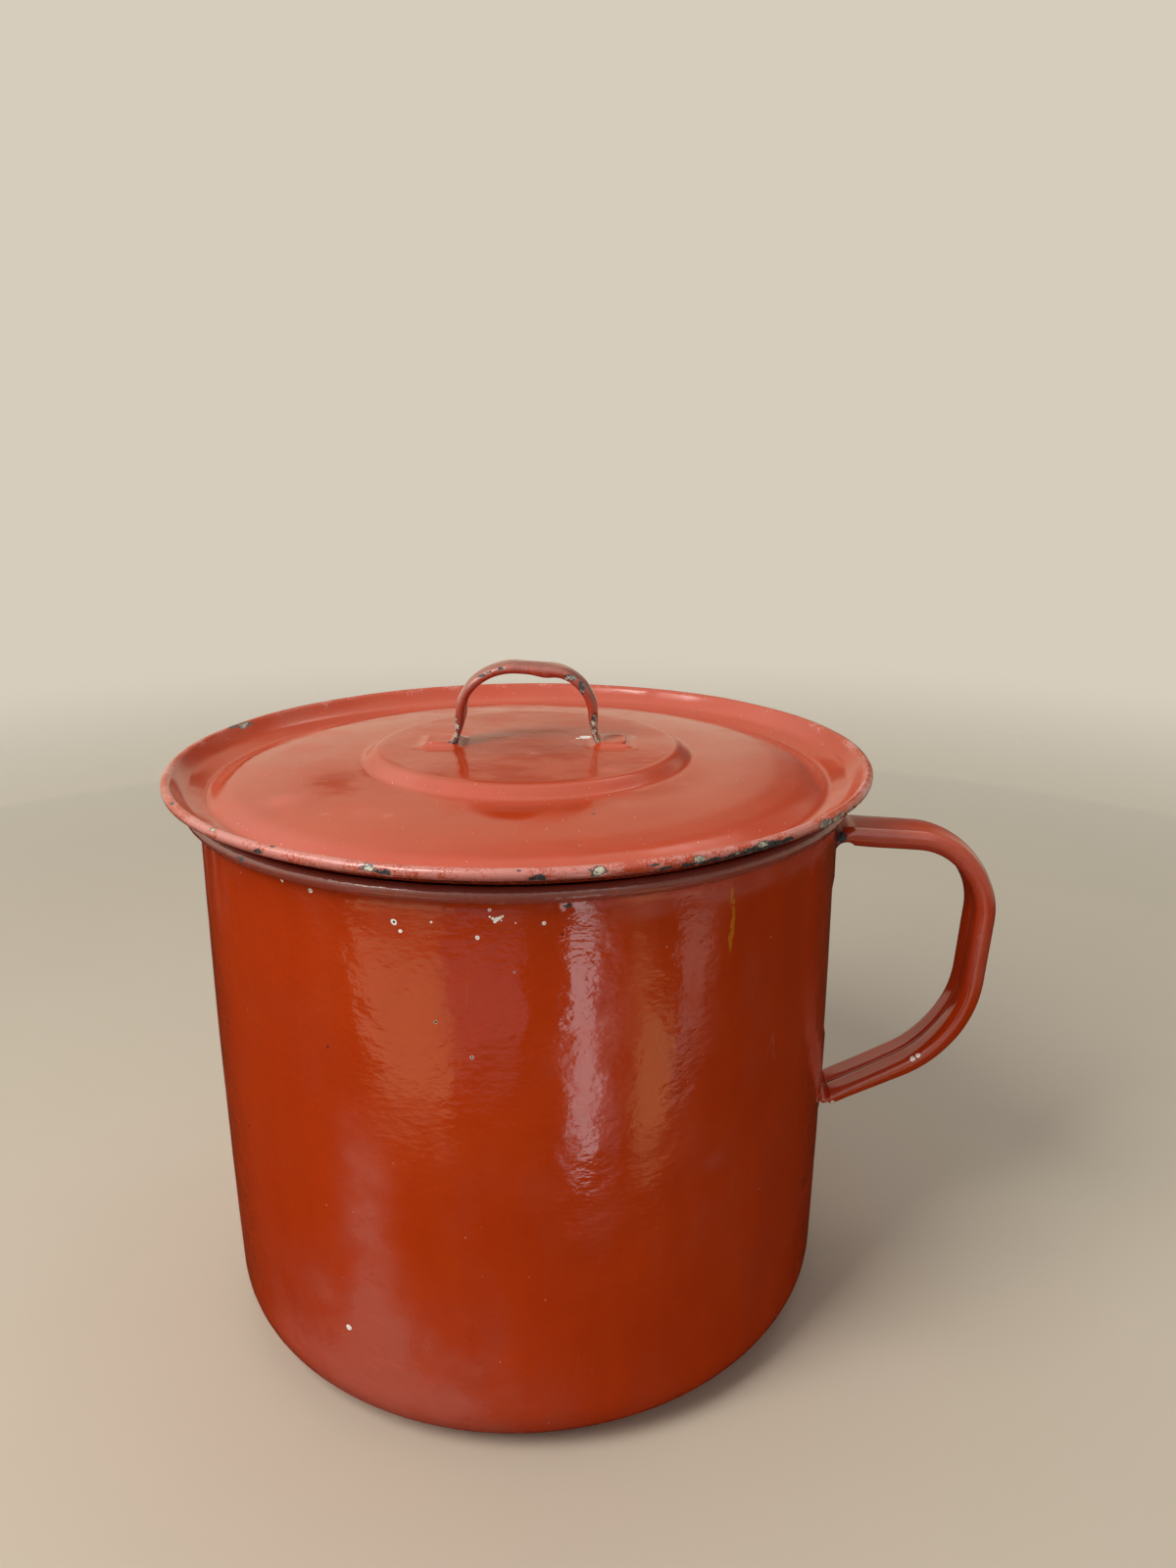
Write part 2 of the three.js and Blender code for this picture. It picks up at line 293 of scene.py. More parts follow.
# A node of the named kind, with its inputs linked or set and its settings given by name.
def addNode(tree, kind, inputs=None, **settings):
    made = tree.nodes.new("ShaderNode" + kind)
    for key, value in settings.items():
        setattr(made, key, value)
    for key, value in (inputs or {}).items():
        if isinstance(value, bpy.types.NodeSocket):
            tree.links.new(value, made.inputs[key])
        else:
            made.inputs[key].default_value = value
    return made


# One maths operation on numbers and sockets.
def maths(tree, operation, *values):
    return addNode(tree, "Math", dict(enumerate(values)), operation=operation).outputs[0]


# A value eased from one range to another: start plus (end - start) times 3t^2 - 2t^3 of its share t
# of the way from low to high.
def fromTo(tree, value, low, high, start=0.0, end=1.0):
    inputs = {"Value": value, "From Min": low, "From Max": high, "To Min": start, "To Max": end}
    return addNode(tree, "MapRange", inputs, interpolation_type="SMOOTHSTEP").outputs["Result"]


# Noise from 0 to 1: its scale is 1 over the wavelength, which is in millimetres.
def noise(tree, vector, wavelength, detail=2.0):
    inputs = {"Vector": vector, "Scale": 1 / (wavelength * mm), "Detail": detail}
    return addNode(tree, "TexNoise", inputs).outputs["Fac"]


# The same noise less a half, so that it swings about nothing.
def swing(tree, vector, wavelength, detail=2.0):
    return maths(tree, "SUBTRACT", noise(tree, vector, wavelength, detail), 0.5)


# One colour laid over another: first times (1 - share) plus second times share.
def blended(tree, share, first, second):
    inputs = {0: share, 6: first, 7: second}
    return addNode(tree, "Mix", inputs, data_type="RGBA").outputs[2]


# One operation on vectors: its result is a number for a length or a distance, or else a vector.
def vectors(tree, operation, *values):
    made = addNode(tree, "VectorMath", dict(enumerate(values)), operation=operation)
    return made.outputs["Value" if operation in ("LENGTH", "DISTANCE") else "Vector"]


# The sockets of groups are plain numbers, but for these.
socketKinds = {
    "Vector": "Vector", "Centre": "Vector",
    "Color": "Color", "Thin": "Color", "Thick": "Color",
}


# Named inputs or outputs for a group.
def addSockets(group, way, names):
    for name in names:
        kind = "NodeSocket" + socketKinds.get(name, "Float")
        group.interface.new_socket(name=name, in_out=way, socket_type=kind)


# An empty group, with the place that it works at and its other named inputs.
def newGroup(name, *inputs):
    group = bpy.data.node_groups.new(name, "ShaderNodeTree")
    addSockets(group, "INPUT", ["Vector", *inputs])
    source = group.nodes.new("NodeGroupInput").outputs
    return group, source["Vector"], source


# The group with its results as named outputs.
def closed(group, **results):
    addSockets(group, "OUTPUT", results)
    target = group.nodes.new("NodeGroupOutput").inputs
    for name, result in results.items():
        group.links.new(result, target[name])
    return group


# Linear colour from the 0 to 255 values of a paint chart: each one's share s of 255 becomes
# ((s + 0.055) / 1.055)^2.4, or s / 12.92 where it is small.
def paint(red, green, blue):
    share = np.array([red, green, blue]) / 255
    linear = np.where(share <= 0.04045, share / 12.92, ((share + 0.055) / 1.055) ** 2.4)
    return (*linear.tolist(), 1.0)


# Effects of the enamel: each is a group that every material places with its own values.

# The fired glaze's ripples in millimetres: slow ones a fingertip wide and fine orange peel.
def orangePeelGroup():
    group, place, source = newGroup("orangePeel", "Slow", "Fine")
    slow = maths(group, "MULTIPLY", noise(group, place, 9, 1.0), source["Slow"])
    flat = vectors(group, "MULTIPLY", place, (1, 1, 1.6))
    height = maths(group, "MULTIPLY_ADD", noise(group, flat, 2.6, 2.5), source["Fine"], slow)
    return closed(group, Height=height)


# The red is uneven: it lies thicker and darker in clouds, in faint vertical runs and in a fine
# mottle.
def glazeToneGroup():
    group, place, source = newGroup("glazeTone", "Thin", "Thick", "Uneven")
    clouds = noise(group, place, 42, 3.0)
    runs = noise(group, vectors(group, "MULTIPLY", place, (1, 1, 0.12)), 9)
    mottle = noise(group, place, 1.1, 3.0)
    level = -0.5
    for pattern, weight in ((clouds, 0.6), (runs, 0.25), (mottle, 0.15)):
        level = maths(group, "MULTIPLY_ADD", pattern, weight, level)
    share = maths(group, "MULTIPLY_ADD", level, source["Uneven"], 0.4)
    share = addNode(group, "Clamp", {"Value": share}).outputs[0]
    return closed(group, Color=blended(group, share, source["Thin"], source["Thick"]))


# A chip from its smooth depth on the mesh: a ragged outline, a crushed pale line round it, a dark
# edge of bare steel, and inside that the pale ground coat or more steel.
def chipMarkGroup():
    group, place, source = newGroup("chipMark", "Depth", "Pale")
    depth = maths(group, "MULTIPLY_ADD", swing(group, place, 1.7), 1.9, source["Depth"])
    depth = maths(group, "MULTIPLY_ADD", swing(group, place, 0.45), 0.9, depth)
    bare = fromTo(group, depth, 0.0, 0.05)
    crushed = maths(group, "SUBTRACT", fromTo(group, depth, -0.14, -0.04), bare)
    inner = fromTo(group, depth, 0.1, 0.36, -0.5, 0.0)
    patches = maths(group, "ADD", noise(group, place, 0.9, 3.0), source["Pale"])
    paleShare = fromTo(group, maths(group, "ADD", patches, inner), 0.85, 1.0)
    rust = fromTo(group, noise(group, place, 0.6), 0.42, 0.6)
    steel = blended(group, rust, paint(24, 24, 27), paint(66, 70, 76))
    coat = blended(group, rust, paint(212, 204, 178), paint(108, 112, 112))
    return closed(group, Bare=bare, Crushed=crushed, Color=blended(group, paleShare, steel, coat))


# Rubbing: the gloss is worn off in fine grains, which join up where the wear is strong.
def rubbedGroup():
    group, place, source = newGroup("rubbed", "Wear")
    level = maths(group, "MULTIPLY_ADD", swing(group, place, 0.6, 3.0), 1.1, source["Wear"])
    level = maths(group, "MULTIPLY_ADD", swing(group, place, 4.5), 0.9, level)
    return closed(group, Mask=fromTo(group, level, 0.32, 0.62))


# A veil such as haze and painted sheen, grime and painted shade, or a stain: its amount times
# cloudy noise of one size, where that passes from a low mark to a high one.
def veilGroup():
    group, place, source = newGroup("veil", "Amount", "Size", "Low", "High")
    scale = maths(group, "DIVIDE", 1 / mm, source["Size"])
    cloud = addNode(group, "TexNoise", {"Vector": place, "Scale": scale, "Detail": 3.0}).outputs["Fac"]
    level = maths(group, "MULTIPLY", maths(group, "MULTIPLY", cloud, 2.0), source["Amount"])
    return closed(group, Mask=fromTo(group, level, source["Low"], source["High"]))


# Dust and pin holes: one round speck in some of the cells of a Voronoi pattern.
def specksGroup():
    group, place, source = newGroup("specks", "Spacing", "Share")
    scale = maths(group, "DIVIDE", 1 / mm, source["Spacing"])
    cells = addNode(group, "TexVoronoi", {"Vector": place, "Scale": scale}).outputs
    chance = addNode(group, "SeparateColor", {"Color": cells["Color"]}).outputs
    there = maths(group, "LESS_THAN", chance["Red"], source["Share"])
    size = maths(group, "MULTIPLY_ADD", chance["Green"], 0.06, 0.03)
    inside = maths(group, "LESS_THAN", cells["Distance"], size)
    return closed(group, Mask=maths(group, "MULTIPLY", there, inside))


# Hairline scratches: narrow level lines of a stretched noise, kept in a few patches.
def scratchesGroup():
    group, place, source = newGroup("scratches", "Amount")
    long = vectors(group, "MULTIPLY", place, (0.5, 0.5, 0.12))
    level = maths(group, "ABSOLUTE", swing(group, long, 6, 1.0))
    thin = fromTo(group, level, 0.0, 0.0018, 1.0, 0.0)
    patches = fromTo(group, noise(group, place, 16, 1.0), 0.56, 0.66)
    mask = maths(group, "MULTIPLY", maths(group, "MULTIPLY", thin, patches), source["Amount"])
    return closed(group, Mask=mask)


# One small pop-off at a centre, also used for painted glints: the pale coat in a ragged spot, with a
# dark pit in its middle.
def spotAndGlintGroup():
    group, place, source = newGroup("spotAndGlint", "Centre", "Radius", "Pit")
    apart = vectors(group, "DISTANCE", place, source["Centre"])
    share = maths(group, "DIVIDE", apart, maths(group, "MULTIPLY", source["Radius"], mm))
    share = maths(group, "MULTIPLY_ADD", swing(group, place, 0.9), 0.7, share)
    pale = fromTo(group, share, 0.85, 1.0, 1.0, 0.0)
    within = maths(group, "DIVIDE", share, maths(group, "MAXIMUM", source["Pit"], 0.001))
    return closed(group, Pale=pale, Dark=fromTo(group, within, 0.8, 1.0, 1.0, 0.0))


orangePeel = orangePeelGroup()
glazeTone = glazeToneGroup()
chipMark = chipMarkGroup()
rubbed = rubbedGroup()
veil = veilGroup()
specks = specksGroup()
scratches = scratchesGroup()
spotAndGlint = spotAndGlintGroup()
print("enamel effects ready")

enamel = {
    "thin": paint(193, 64, 14),           # the red where it lies thin
    "thick": paint(158, 40, 6),           # and where it lies thick
    "lining": paint(222, 212, 188),       # the pale coat inside the pot and under the lid
    "liningAged": paint(196, 182, 152),
    "rubbedRed": paint(178, 98, 86),
    "rubbedPale": paint(198, 122, 112),   # where many hands lift the lid by its edge
    "dust": paint(232, 212, 192),
    "pit": paint(40, 30, 26),
    "poppedAndGlint": paint(252, 250, 244),       # clean ground coat in a fresh pop-off, and the white of painted glints
    "gloss": 0.10,                        # roughness of sound glaze
    "smeared": 0.12,                      # and what smears of handling add to it
    "bare": 0.4,                          # and what bare steel adds
    "liningUneven": 1.6,
    "liningEdge": (5.0, 0.45, 0.55),      # size of the waves where it meets the red, low and high mark
    "dustSpacing": 1.9, "holeSpacing": 7.0,
    "chipSink": -0.1, "wearSink": -0.02,
    "index": 1.5,
}

# Veils over the red: their colour, the size of their clouds in millimetres, the low and high marks,
# how densely they cover and what they add to the roughness.
veils = {
    # haze and sheen: real scuffs and rubbing, and also painted reflections on the pot's wall and a
    # painted sheen on the side handle
    "hazeAndSheen": (paint(190, 96, 84), 11.0, 0.0, 1.3, 0.6, 0.22),
    "tarnishAndShade": (paint(140, 68, 57), 3.0, 0.15, 1.0, 0.9, 0),   # rubbed, then darkened by smoke and hands; also painted shade in creases and under the curl
    "stain": (paint(196, 120, 20), 1.8, 0.62, 1.0, 0.75, 0),
    # grime and painted shade: dirt at welds, seams, the groove and the arch's feet, and painted shade
    # under the bead, under the lid's curl, at the handle's root and inside the rolled straps
    "grimeAndShade": (paint(46, 24, 18), 0.8, 0.3, 1.3, 0.9, 0.12),
}


# A new material with its tree and its Principled shader.
def newMaterial(name):
    material = bpy.data.materials.new(name)
    material.use_nodes = True
    tree = material.node_tree
    return material, tree, tree.nodes["Principled BSDF"]


# Vitreous enamel on steel: a red glaze with its fired ripples, worn, chipped, stained and dusty as
# the piece's own attributes say.
def enamelMaterial(name, fields, look):
    material, tree, shader = newMaterial(name)
    place = addNode(tree, "TexCoord").outputs["Object"]
    fields = {key: addNode(tree, "Attribute", attribute_name=key).outputs["Fac"] for key in fields}

    # a group's outputs, at the place on the piece
    def effect(group, **values):
        return addNode(tree, "Group", {"Vector": place, **values}, node_tree=group).outputs

    # a glaze between its thin and its thick colour
    def toned(thin, thick, uneven):
        return effect(glazeTone, Thin=enamel[thin], Thick=enamel[thick], Uneven=uneven)["Color"]

    # a value plus a share of an amount
    def added(under, share, amount):
        return maths(tree, "MULTIPLY_ADD", share, amount, under)

    # a colour under another one, whose cover is a share of its strength
    def covered(under, share, strength, over):
        return blended(tree, maths(tree, "MULTIPLY", share, strength), under, over)

    # the colour and roughness under a veil, if the piece has its field
    def veiled(key, colour, roughness):
        if key not in fields:
            return colour, roughness
        over, size, low, high, strength, rough = veils[key]
        mask = effect(veil, Amount=fields[key], Size=size, Low=low, High=high)["Mask"]
        if rough:
            roughness = added(roughness, mask, rough)
        return covered(colour, mask, strength, over), roughness

    tall = vectors(tree, "MULTIPLY", place, (1, 1, 0.5))
    smears = fromTo(tree, noise(tree, tall, 13, 3.0), 0.42, 0.68)
    roughness = added(enamel["gloss"], smears, enamel["smeared"])
    colour = toned("thin", "thick", look["uneven"])
    if "lining" in fields:
        size, low, high = enamel["liningEdge"]
        mask = effect(veil, Amount=fields["lining"], Size=size, Low=low, High=high)["Mask"]
        colour = blended(tree, mask, colour, toned("lining", "liningAged", enamel["liningUneven"]))
    colour, roughness = veiled("hazeAndSheen", colour, roughness)
    worn = effect(rubbed, Wear=fields["wear"])["Mask"]
    colour = blended(tree, worn, colour, enamel[look["rubbed"]])
    roughness = added(roughness, worn, look["rubbedGloss"])
    colour, roughness = veiled("tarnishAndShade", colour, roughness)
    colour, roughness = veiled("stain", colour, roughness)
    lines = effect(scratches, Amount=look["scratches"])["Mask"]
    colour = blended(tree, lines, colour, enamel["rubbedRed"])
    colour, roughness = veiled("grimeAndShade", colour, roughness)
    dust = effect(specks, Spacing=enamel["dustSpacing"], Share=look["dust"])["Mask"]
    colour = covered(colour, dust, 0.6, enamel["dust"])
    holes = effect(specks, Spacing=enamel["holeSpacing"], Share=look["pinHoles"])["Mask"]
    colour = covered(colour, holes, 0.7, enamel["pit"])
    # pop-offs, and on the side handle painted glints
    for centre, radius, pit in look["spotsAndGlints"]:
        spot = effect(spotAndGlint, Centre=centre, Radius=radius, Pit=pit)
        colour = blended(tree, spot["Pale"], colour, enamel["poppedAndGlint"])
        colour = blended(tree, spot["Dark"], colour, enamel["pit"])
    chip = effect(chipMark, Depth=fields["chip"], Pale=fields["pale"])
    colour = covered(colour, chip["Crushed"], 0.5, enamel["rubbedRed"])
    colour = blended(tree, chip["Bare"], colour, chip["Color"])
    roughness = added(roughness, chip["Bare"], enamel["bare"])

    height = effect(orangePeel, Slow=look["slowRipple"], Fine=look["fineRipple"])["Height"]
    height = added(height, chip["Bare"], enamel["chipSink"])
    height = added(height, worn, enamel["wearSink"])
    bump = addNode(tree, "Bump", {"Strength": 1.0, "Distance": mm, "Height": height})
    tree.links.new(colour, shader.inputs["Base Color"])
    tree.links.new(roughness, shader.inputs["Roughness"])
    tree.links.new(bump.outputs[0], shader.inputs["Normal"])
    shader.inputs["IOR"].default_value = enamel["index"]
    return material


seatGap = 0.3      # the lid's seat above the bead
chipFloor = 0.4    # how far inside its edge a chip is at its full depth
wayRound = np.array([1.0, 0.0, 0.0])    # round the pot, on an unrolled piece
wayAcross = np.array([1.0, 0.0, 0.0])
wayUp = np.array([0.0, 0.0, 1.0])

pot = {
    "body": "pot", "node": "pot_body", "slot": "pot_enamel", "glaze": "potEnamel",
    "turns": 720, "baseRows": 8, "wallRows": 80,
    "sheet": 1.1,
    "wallTaper": 1.1,        # smaller radius at the bottom, for drawing
    "wallBulge": 0.9,
    "baseCorner": 16,
    "baseDish": 0.5,         # the middle of the base stands clear of the table
    "rimFlare": 1.1,
    "rimFlareHeight": 4.5,
    "rimHollow": 0.9,
    "rollEnd": -100,
    "dent": 0.06, "dentLength": 48, "dentBias": 0,
    "ripple": 0.022, "rippleLength": 13,
    "chipSink": 0.2, "chipRagged": 0.2, "chipGrain": 2.5, "chipSeed": 11,
    "weldRise": 1.3, "weldReach": 3.2,   # enamel pooled round the handle's tabs
    "uneven": 1.3, "scratches": 0.5, "dust": 0.04, "pinHoles": 0.05,
    "rubbed": "rubbedRed", "rubbedGloss": 0.06,
    "slowRipple": 0.3, "fineRipple": 0.11,
    # chips: ((azimuth, height), length, width, paleness)
    "chips": [
        ((-131, 157.6), 3.4, 1.5, 0.0),
        ((-80, 153.2), 2.6, 1.0, 0.1),
        ((52, 157.0), 4.0, 1.6, 0.3),
        ((118, 158.2), 2.2, 1.2, 0.0),
        ((170, 156.4), 5.0, 1.6, 0.2),
        ((-158, 2.2), 5.0, 2.0, 0.2),
        ((64, 4.0), 3.0, 1.6, 0.0),
    ],
    # pop-offs under the bead: azimuth, height, radius, pit
    "spots": [
        (-119, 153.0, 0.6, 0.35), (-124.7, 153.6, 0.45, 0.0), (-105, 148.8, 0.8, 0.4),
        (-104.1, 146.8, 0.5, 0.0), (-99.4, 149.6, 0.3, 0.0), (-92.8, 146.4, 0.55, 0.3),
        (-91, 153.0, 0.4, 0.5), (-91.0, 151.4, 0.28, 0.0), (-90.6, 151.0, 0.36, 0.0),
        (-90.3, 150.2, 0.4, 0.0), (-90.0, 150.8, 0.55, 0.0), (-89.6, 151.1, 0.45, 0.0),
        (-89.2, 151.5, 0.32, 0.0), (-89.4, 150.5, 0.2, 0.0),
        (-87.4, 149.9, 0.22, 0.0), (-83.4, 149.7, 0.5, 0.3), (-77.6, 149.8, 0.25, 0.9),
        (-99.3, 125.2, 0.45, 0.9), (-94.1, 116.8, 0.45, 0.7), (-87.7, 138.1, 0.25, 0.8),
        (-117.6, 33.1, 0.9, 0.0), (118, 148.5, 0.8, 0.4), (133, 151.5, 0.5, 0.3), (24, 146, 0.7, 0.4),
    ],
    # marks down the wall: azimuth, spread, and the heights over which they come in and go out
    "marks": {
        "scuff": (-114, 24, (-2, -1), (6, 70)),
        # a soft pinkish-white streak up the lower left of the wall: a painted reflection
        "reflectionStreak": (-112.5, 4.5, (-2, -1), (78, 112)),
        "drip": (-53.4, 0.5, (133, 137), (151, 153)),
        "run": (-108.3, 0.5, (100, 118), (152, 154)),
        # pale streaks near the left rim: painted reflections
        "paleReflections": (-152, 9, (120, 146), (153, 155)),
    },
    "knuckles": (-55, 79, 3),            # rubbed by a hand in the handle: azimuth, height, spread
    "footScuff": (-100, (25, 45), (4, 34)),   # azimuth, and where it goes out round the pot and upwards
}

beadRadius, _, potHeight = topCorner(pot["node"])
rimRoll = pot["rimHollow"] + pot["sheet"]
rollMiddle = rimRoll - pot["sheet"] / 2
beadMiddle = beadRadius - rimRoll
rimStart = potHeight - rimRoll - pot["rimFlareHeight"]
wallTop = beadMiddle - rollMiddle - pot["rimFlare"] + pot["sheet"] / 2


# Outside radius of the wall at a height: a straight taper plus a parabola that is nothing at the
# standing face and at the top.
def wallRadius(height):
    def shape(z):
        up = z / potHeight   # 4 up (1 - up) is 1 half way up
        return pot["wallBulge"] * 4 * up * (1 - up) - pot["wallTaper"] * (1 - up)
    return wallTop + shape(height) - shape(rimStart)


# A point of the pot's outside: past the wall, its radius grows with the cube of the way up the flare,
# and in the corner it follows a circle.
def wallPoint(azimuth, height):
    turn = math.radians(azimuth)
    radius = wallRadius(min(height, rimStart))
    if height > rimStart:
        rise = min((height - rimStart) / pot["rimFlareHeight"], 1)
        radius += (beadRadius - wallTop) * rise ** 3
    if height < pot["baseCorner"]:
        drop = pot["baseCorner"] - height
        radius -= pot["baseCorner"] - math.sqrt(pot["baseCorner"] ** 2 - drop ** 2)
    return np.array([radius * math.cos(turn), radius * math.sin(turn), height])


# A chip's centre on the unrolled pot, and its length's direction, which is round the pot.
def wallPlace(azimuth, height):
    radius = np.hypot(*wallPoint(azimuth, height)[:2])
    return unrolled(azimuth, radius, height, beadRadius), wayRound


# Enamel pooled at welded tabs, from the distance to a tab's outline, which is negative inside it: the
# enamel climbs to the tab's edge as rise (1 - distance / reach)^2, and sinks under the tab.
def pooled(across, along, tabs, width, look):
    pool = np.zeros_like(along)
    for low, high in tabs:
        beyond = np.stack([np.abs(across) - width / 2, np.maximum(low - along, along - high)], -1)
        distance = np.linalg.norm(np.maximum(beyond, 0), axis=-1) + np.minimum(beyond.max(-1), 0)
        fillet = np.clip(1 - np.maximum(distance, 0) / look["weldReach"], 0, 1) ** 2
        pool = np.maximum(pool, look["weldRise"] * (fillet - 0.5 * np.clip(-distance / 1.5, 0, 1)))
    return pool


# The pot: a dished base, a round corner, the wall, an S-shaped flare and the bead, as the middle line
# of a sheet that is spun.
def makePot(handle):
    half = pot["sheet"] / 2
    corner = pot["baseCorner"]
    cornerMiddle = wallRadius(corner) - corner
    baseRadius = np.linspace(0.12, 1, pot["baseRows"], endpoint=False) * cornerMiddle
    base = np.column_stack([baseRadius, half + pot["baseDish"] * (1 - (baseRadius / cornerMiddle) ** 2)])
    heights = np.linspace(corner, rimStart, 60)[1:]
    wallMiddle, rollEdge = wallTop - half, beadMiddle - rollMiddle
    flareTop = potHeight - rimRoll
    third = pot["rimFlareHeight"] / 3
    middle = np.vstack([
        arc(cornerMiddle, corner, corner - half, -90, 0, 40),
        np.column_stack([wallRadius(heights) - half, heights]),
        bezier([(wallMiddle, rimStart), (wallMiddle, rimStart + third),
                (rollEdge, flareTop - third), (rollEdge, flareTop)], 20)[1:],
        arc(beadMiddle, flareTop, rollMiddle, 180, pot["rollEnd"], 80)[1:],
    ])
    faces = sheetFaces(np.vstack([base, resampled(middle, pot["wallRows"], 7)]), pot["sheet"])
    grid, isInside, radius, azimuth = turnedSheet(*faces, pot["turns"])
    isOutside, z = 1 - isInside, grid[..., 2]

    onWall = isOutside * between(z, (20, 40), (rimStart - 2, rimStart + 2))
    weld = pooled(np.radians(azimuth) * radius, z, handle["tabs"], handle["width"], pot)
    chip, pale = raggedChips(unrolled(azimuth, radius, z, beadRadius), grid, pot, wallPlace)
    sink = pot["chipSink"] * smooth(chip, 0, chipFloor)
    grid = raised(grid, pressed(grid, pot, 1) * smooth(radius, 20, 60) + weld * onWall - sink)
    grid[..., 2] = np.maximum(grid[..., 2], 0)

    # a mark's bell across the azimuth, moved sideways by the sway, between its heights
    def mark(name, sway=0.0):
        at, spread, comesIn, goesOut = pot["marks"][name]
        return bell(turnBetween(azimuth, at) + sway, spread) * between(z, comesIn, goesOut)

    bead = smooth(radius, beadRadius - 2.9, beadRadius - 1.6) * smooth(z, potHeight - 5, potHeight - 3.4)
    # The crease under the bead is darkened as painted shade of the bead, with some dirt.
    crease = bell(z - rimStart - 2.4, 1.2) * isOutside
    foot = (1 - smooth(z, 0.05, 2.0)) * smooth(radius, 55, 70) * isOutside
    at, around, upwards = pot["footScuff"]
    footScuff = (1 - smooth(z, *upwards)) * (1 - smooth(np.abs(turnBetween(azimuth, at)), *around))
    # the scuff is real wear; the streak added to it is a painted reflection
    scuff = (mark("scuff") + 0.8 * mark("reflectionStreak") + 0.12 * footScuff) * isOutside
    drip = mark("drip", 0.5 * waves(grid, 9, 4))
    run = mark("run", -0.014 * (z - 130))
    at, up, spread = pot["knuckles"]
    knuckles = bell(turnBetween(azimuth, at), spread) * bell(z - up, spread)
    # A pinkish band under the bead on the right: a painted reflection, put in as haze.
    lower = 147.5 + 1.8 * waves(grid * [1, 1, 0], 12, 7)
    underBead = smooth(z, lower, lower + 0.7) * between(azimuth, (-78, -66), (-14, -4))
    # painted reflections: pale vertical streaks near the left rim
    paleReflections = mark("paleReflections") * np.maximum(0.5 + 0.7 * waves(grid * [1, 1, 0.12], 7, 8), 0)
    fields = {
        "chip": chip, "pale": pale,
        "wear": 0.02 + 0.4 * bead + 0.3 * foot + 0.10 * waves(grid, 22, 3) * bead + 0.1 * scuff,
        "tarnishAndShade": 1.1 * bead + 0.4 * crease,
        "lining": isInside * (1 - smooth(radius, wallTop - 0.2, wallTop + 1.0)),
        "grimeAndShade": (0.9 * crease + 0.8 * smooth(weld, 0.05, 0.5) * onWall + 0.5 * foot
                  + 0.25 * bead + 0.3 * run),
        "stain": 1.5 * drip * isOutside,
        "hazeAndSheen": 1.25 * scuff + 0.5 * knuckles + (0.55 * underBead + 0.9 * paleReflections) * isOutside,
    }
    spotsAndGlints = [(tuple(wallPoint(turn, up) * mm), size, pit) for turn, up, size, pit in pot["spots"]]
    makePiece("potShell", grid, fields, "poles", dict(pot, spotsAndGlints=spotsAndGlints))


# The middle line of a rolled strap's sheet for each station, as arrays u and v with a row for each:
# the crowned face, a half circle round each edge, and a lip that dips towards the seam. `depth`,
# `width`, `crown` and `sheet` hold a value for each station.
def strapMiddle(depth, width, crown, sheet, strap):
    bend = (depth - sheet) / 2
    edge = width / 2 - depth / 2
    face = np.linspace(0, 1, strap["faceSteps"])
    angles = np.radians(np.linspace(-90, 90, strap["bendSteps"]))[1:]
    lip = np.linspace(0, 1, strap["lipSteps"])[1:]
    lipRun = edge - strap["seam"] / 2
    u = np.hstack([edge * face, edge + bend * np.cos(angles), edge - lipRun * lip])
    v = np.hstack([
        sheet / 2 - crown * (1 - face ** 2),
        depth / 2 + bend * np.sin(angles),
        depth / 2 + bend - strap["lipDip"] * lip ** 2 * np.clip(bend, 0, 1),
    ])
    return np.hstack([-u[:, :0:-1], u]), np.hstack([v[:, :0:-1], v])


# A strap as a grid: its sheet's outline, which is the middle line moved to both sides and blunted at
# the lips and at the strap's two ends, carried along the path. Where `share` is 1 it is wrapped round
# a wall of the given radius: it moves in by radius - root(radius^2 - u^2).
def strapGrid(path, depth, width, crown, sheet, share, radius, strap):
    u, v = strapMiddle(depth[:, None], width[:, None], crown[:, None], sheet[:, None], strap)
    du, dv = np.gradient(u, axis=1), np.gradient(v, axis=1)
    size = np.hypot(du, dv)
    steps = np.hypot(np.diff(u, axis=1, prepend=u[:, :1]), np.diff(v, axis=1, prepend=v[:, :1]))
    across, along = np.cumsum(steps, axis=1), lengths(path)[:, None]
    half = sheet[:, None] / 2
    toLip = np.minimum(across, across[:, -1:] - across) / half
    toEnd = np.minimum(along, along[-1] - along) / half
    half = half * blunted(toLip) * blunted(toEnd)
    moveU, moveV = dv / size * half, -du / size * half
    u = np.hstack([u + moveU, (u - moveU)[:, ::-1]])
    v = np.hstack([v + moveV, (v - moveV)[:, ::-1]])
    radius = radius[:, None]
    v = v - share[:, None] * (radius - np.sqrt(radius ** 2 - u ** 2))
    return carried(path, u, v), u, v


# A strap with its ripples and chips: it rises with the waves and sinks in the chips. Its hollow side
# is the second half of each loop, short of the lips.
def weathered(grid, strap, place):
    chip, pale = raggedChips(grid, grid, strap, place)
    swell = waves(grid, strap["rippleLength"], strap["chipSeed"] + 1) - strap["rippleBias"]
    hollow = np.zeros(grid.shape[:2])
    hollow[:, grid.shape[1] // 2 + 2:-2] = 1
    sink = strap["chipSink"] * smooth(chip, 0, chipFloor)
    return raised(grid, strap["ripple"] * swell - sink), chip, pale, hollow


# A value that eases from each (distance, value) stop along a strap to the next.
def eased(stops, distance):
    value = np.full_like(distance, stops[0][1])
    for (start, before), (end, after) in zip(stops, stops[1:]):
        value = value + (after - before) * smooth(distance, start, end)
    return value


# Width along a strap whose ends are cut to a round: within the corner's radius of an end, the half
# width follows a circle.
def endedWidth(distance, total, width, corner):
    short = np.clip(1 - np.minimum(distance, total - distance) / corner, 0, 1)
    return width - 2 * corner * (1 - np.sqrt(1 - short ** 2))


# Steps along a strap and over its face, edges and lips, and its gap from what it is welded to.
strapSteps = {"stations": 430, "faceSteps": 11, "bendSteps": 12, "lipSteps": 8, "weldGap": 0.12}

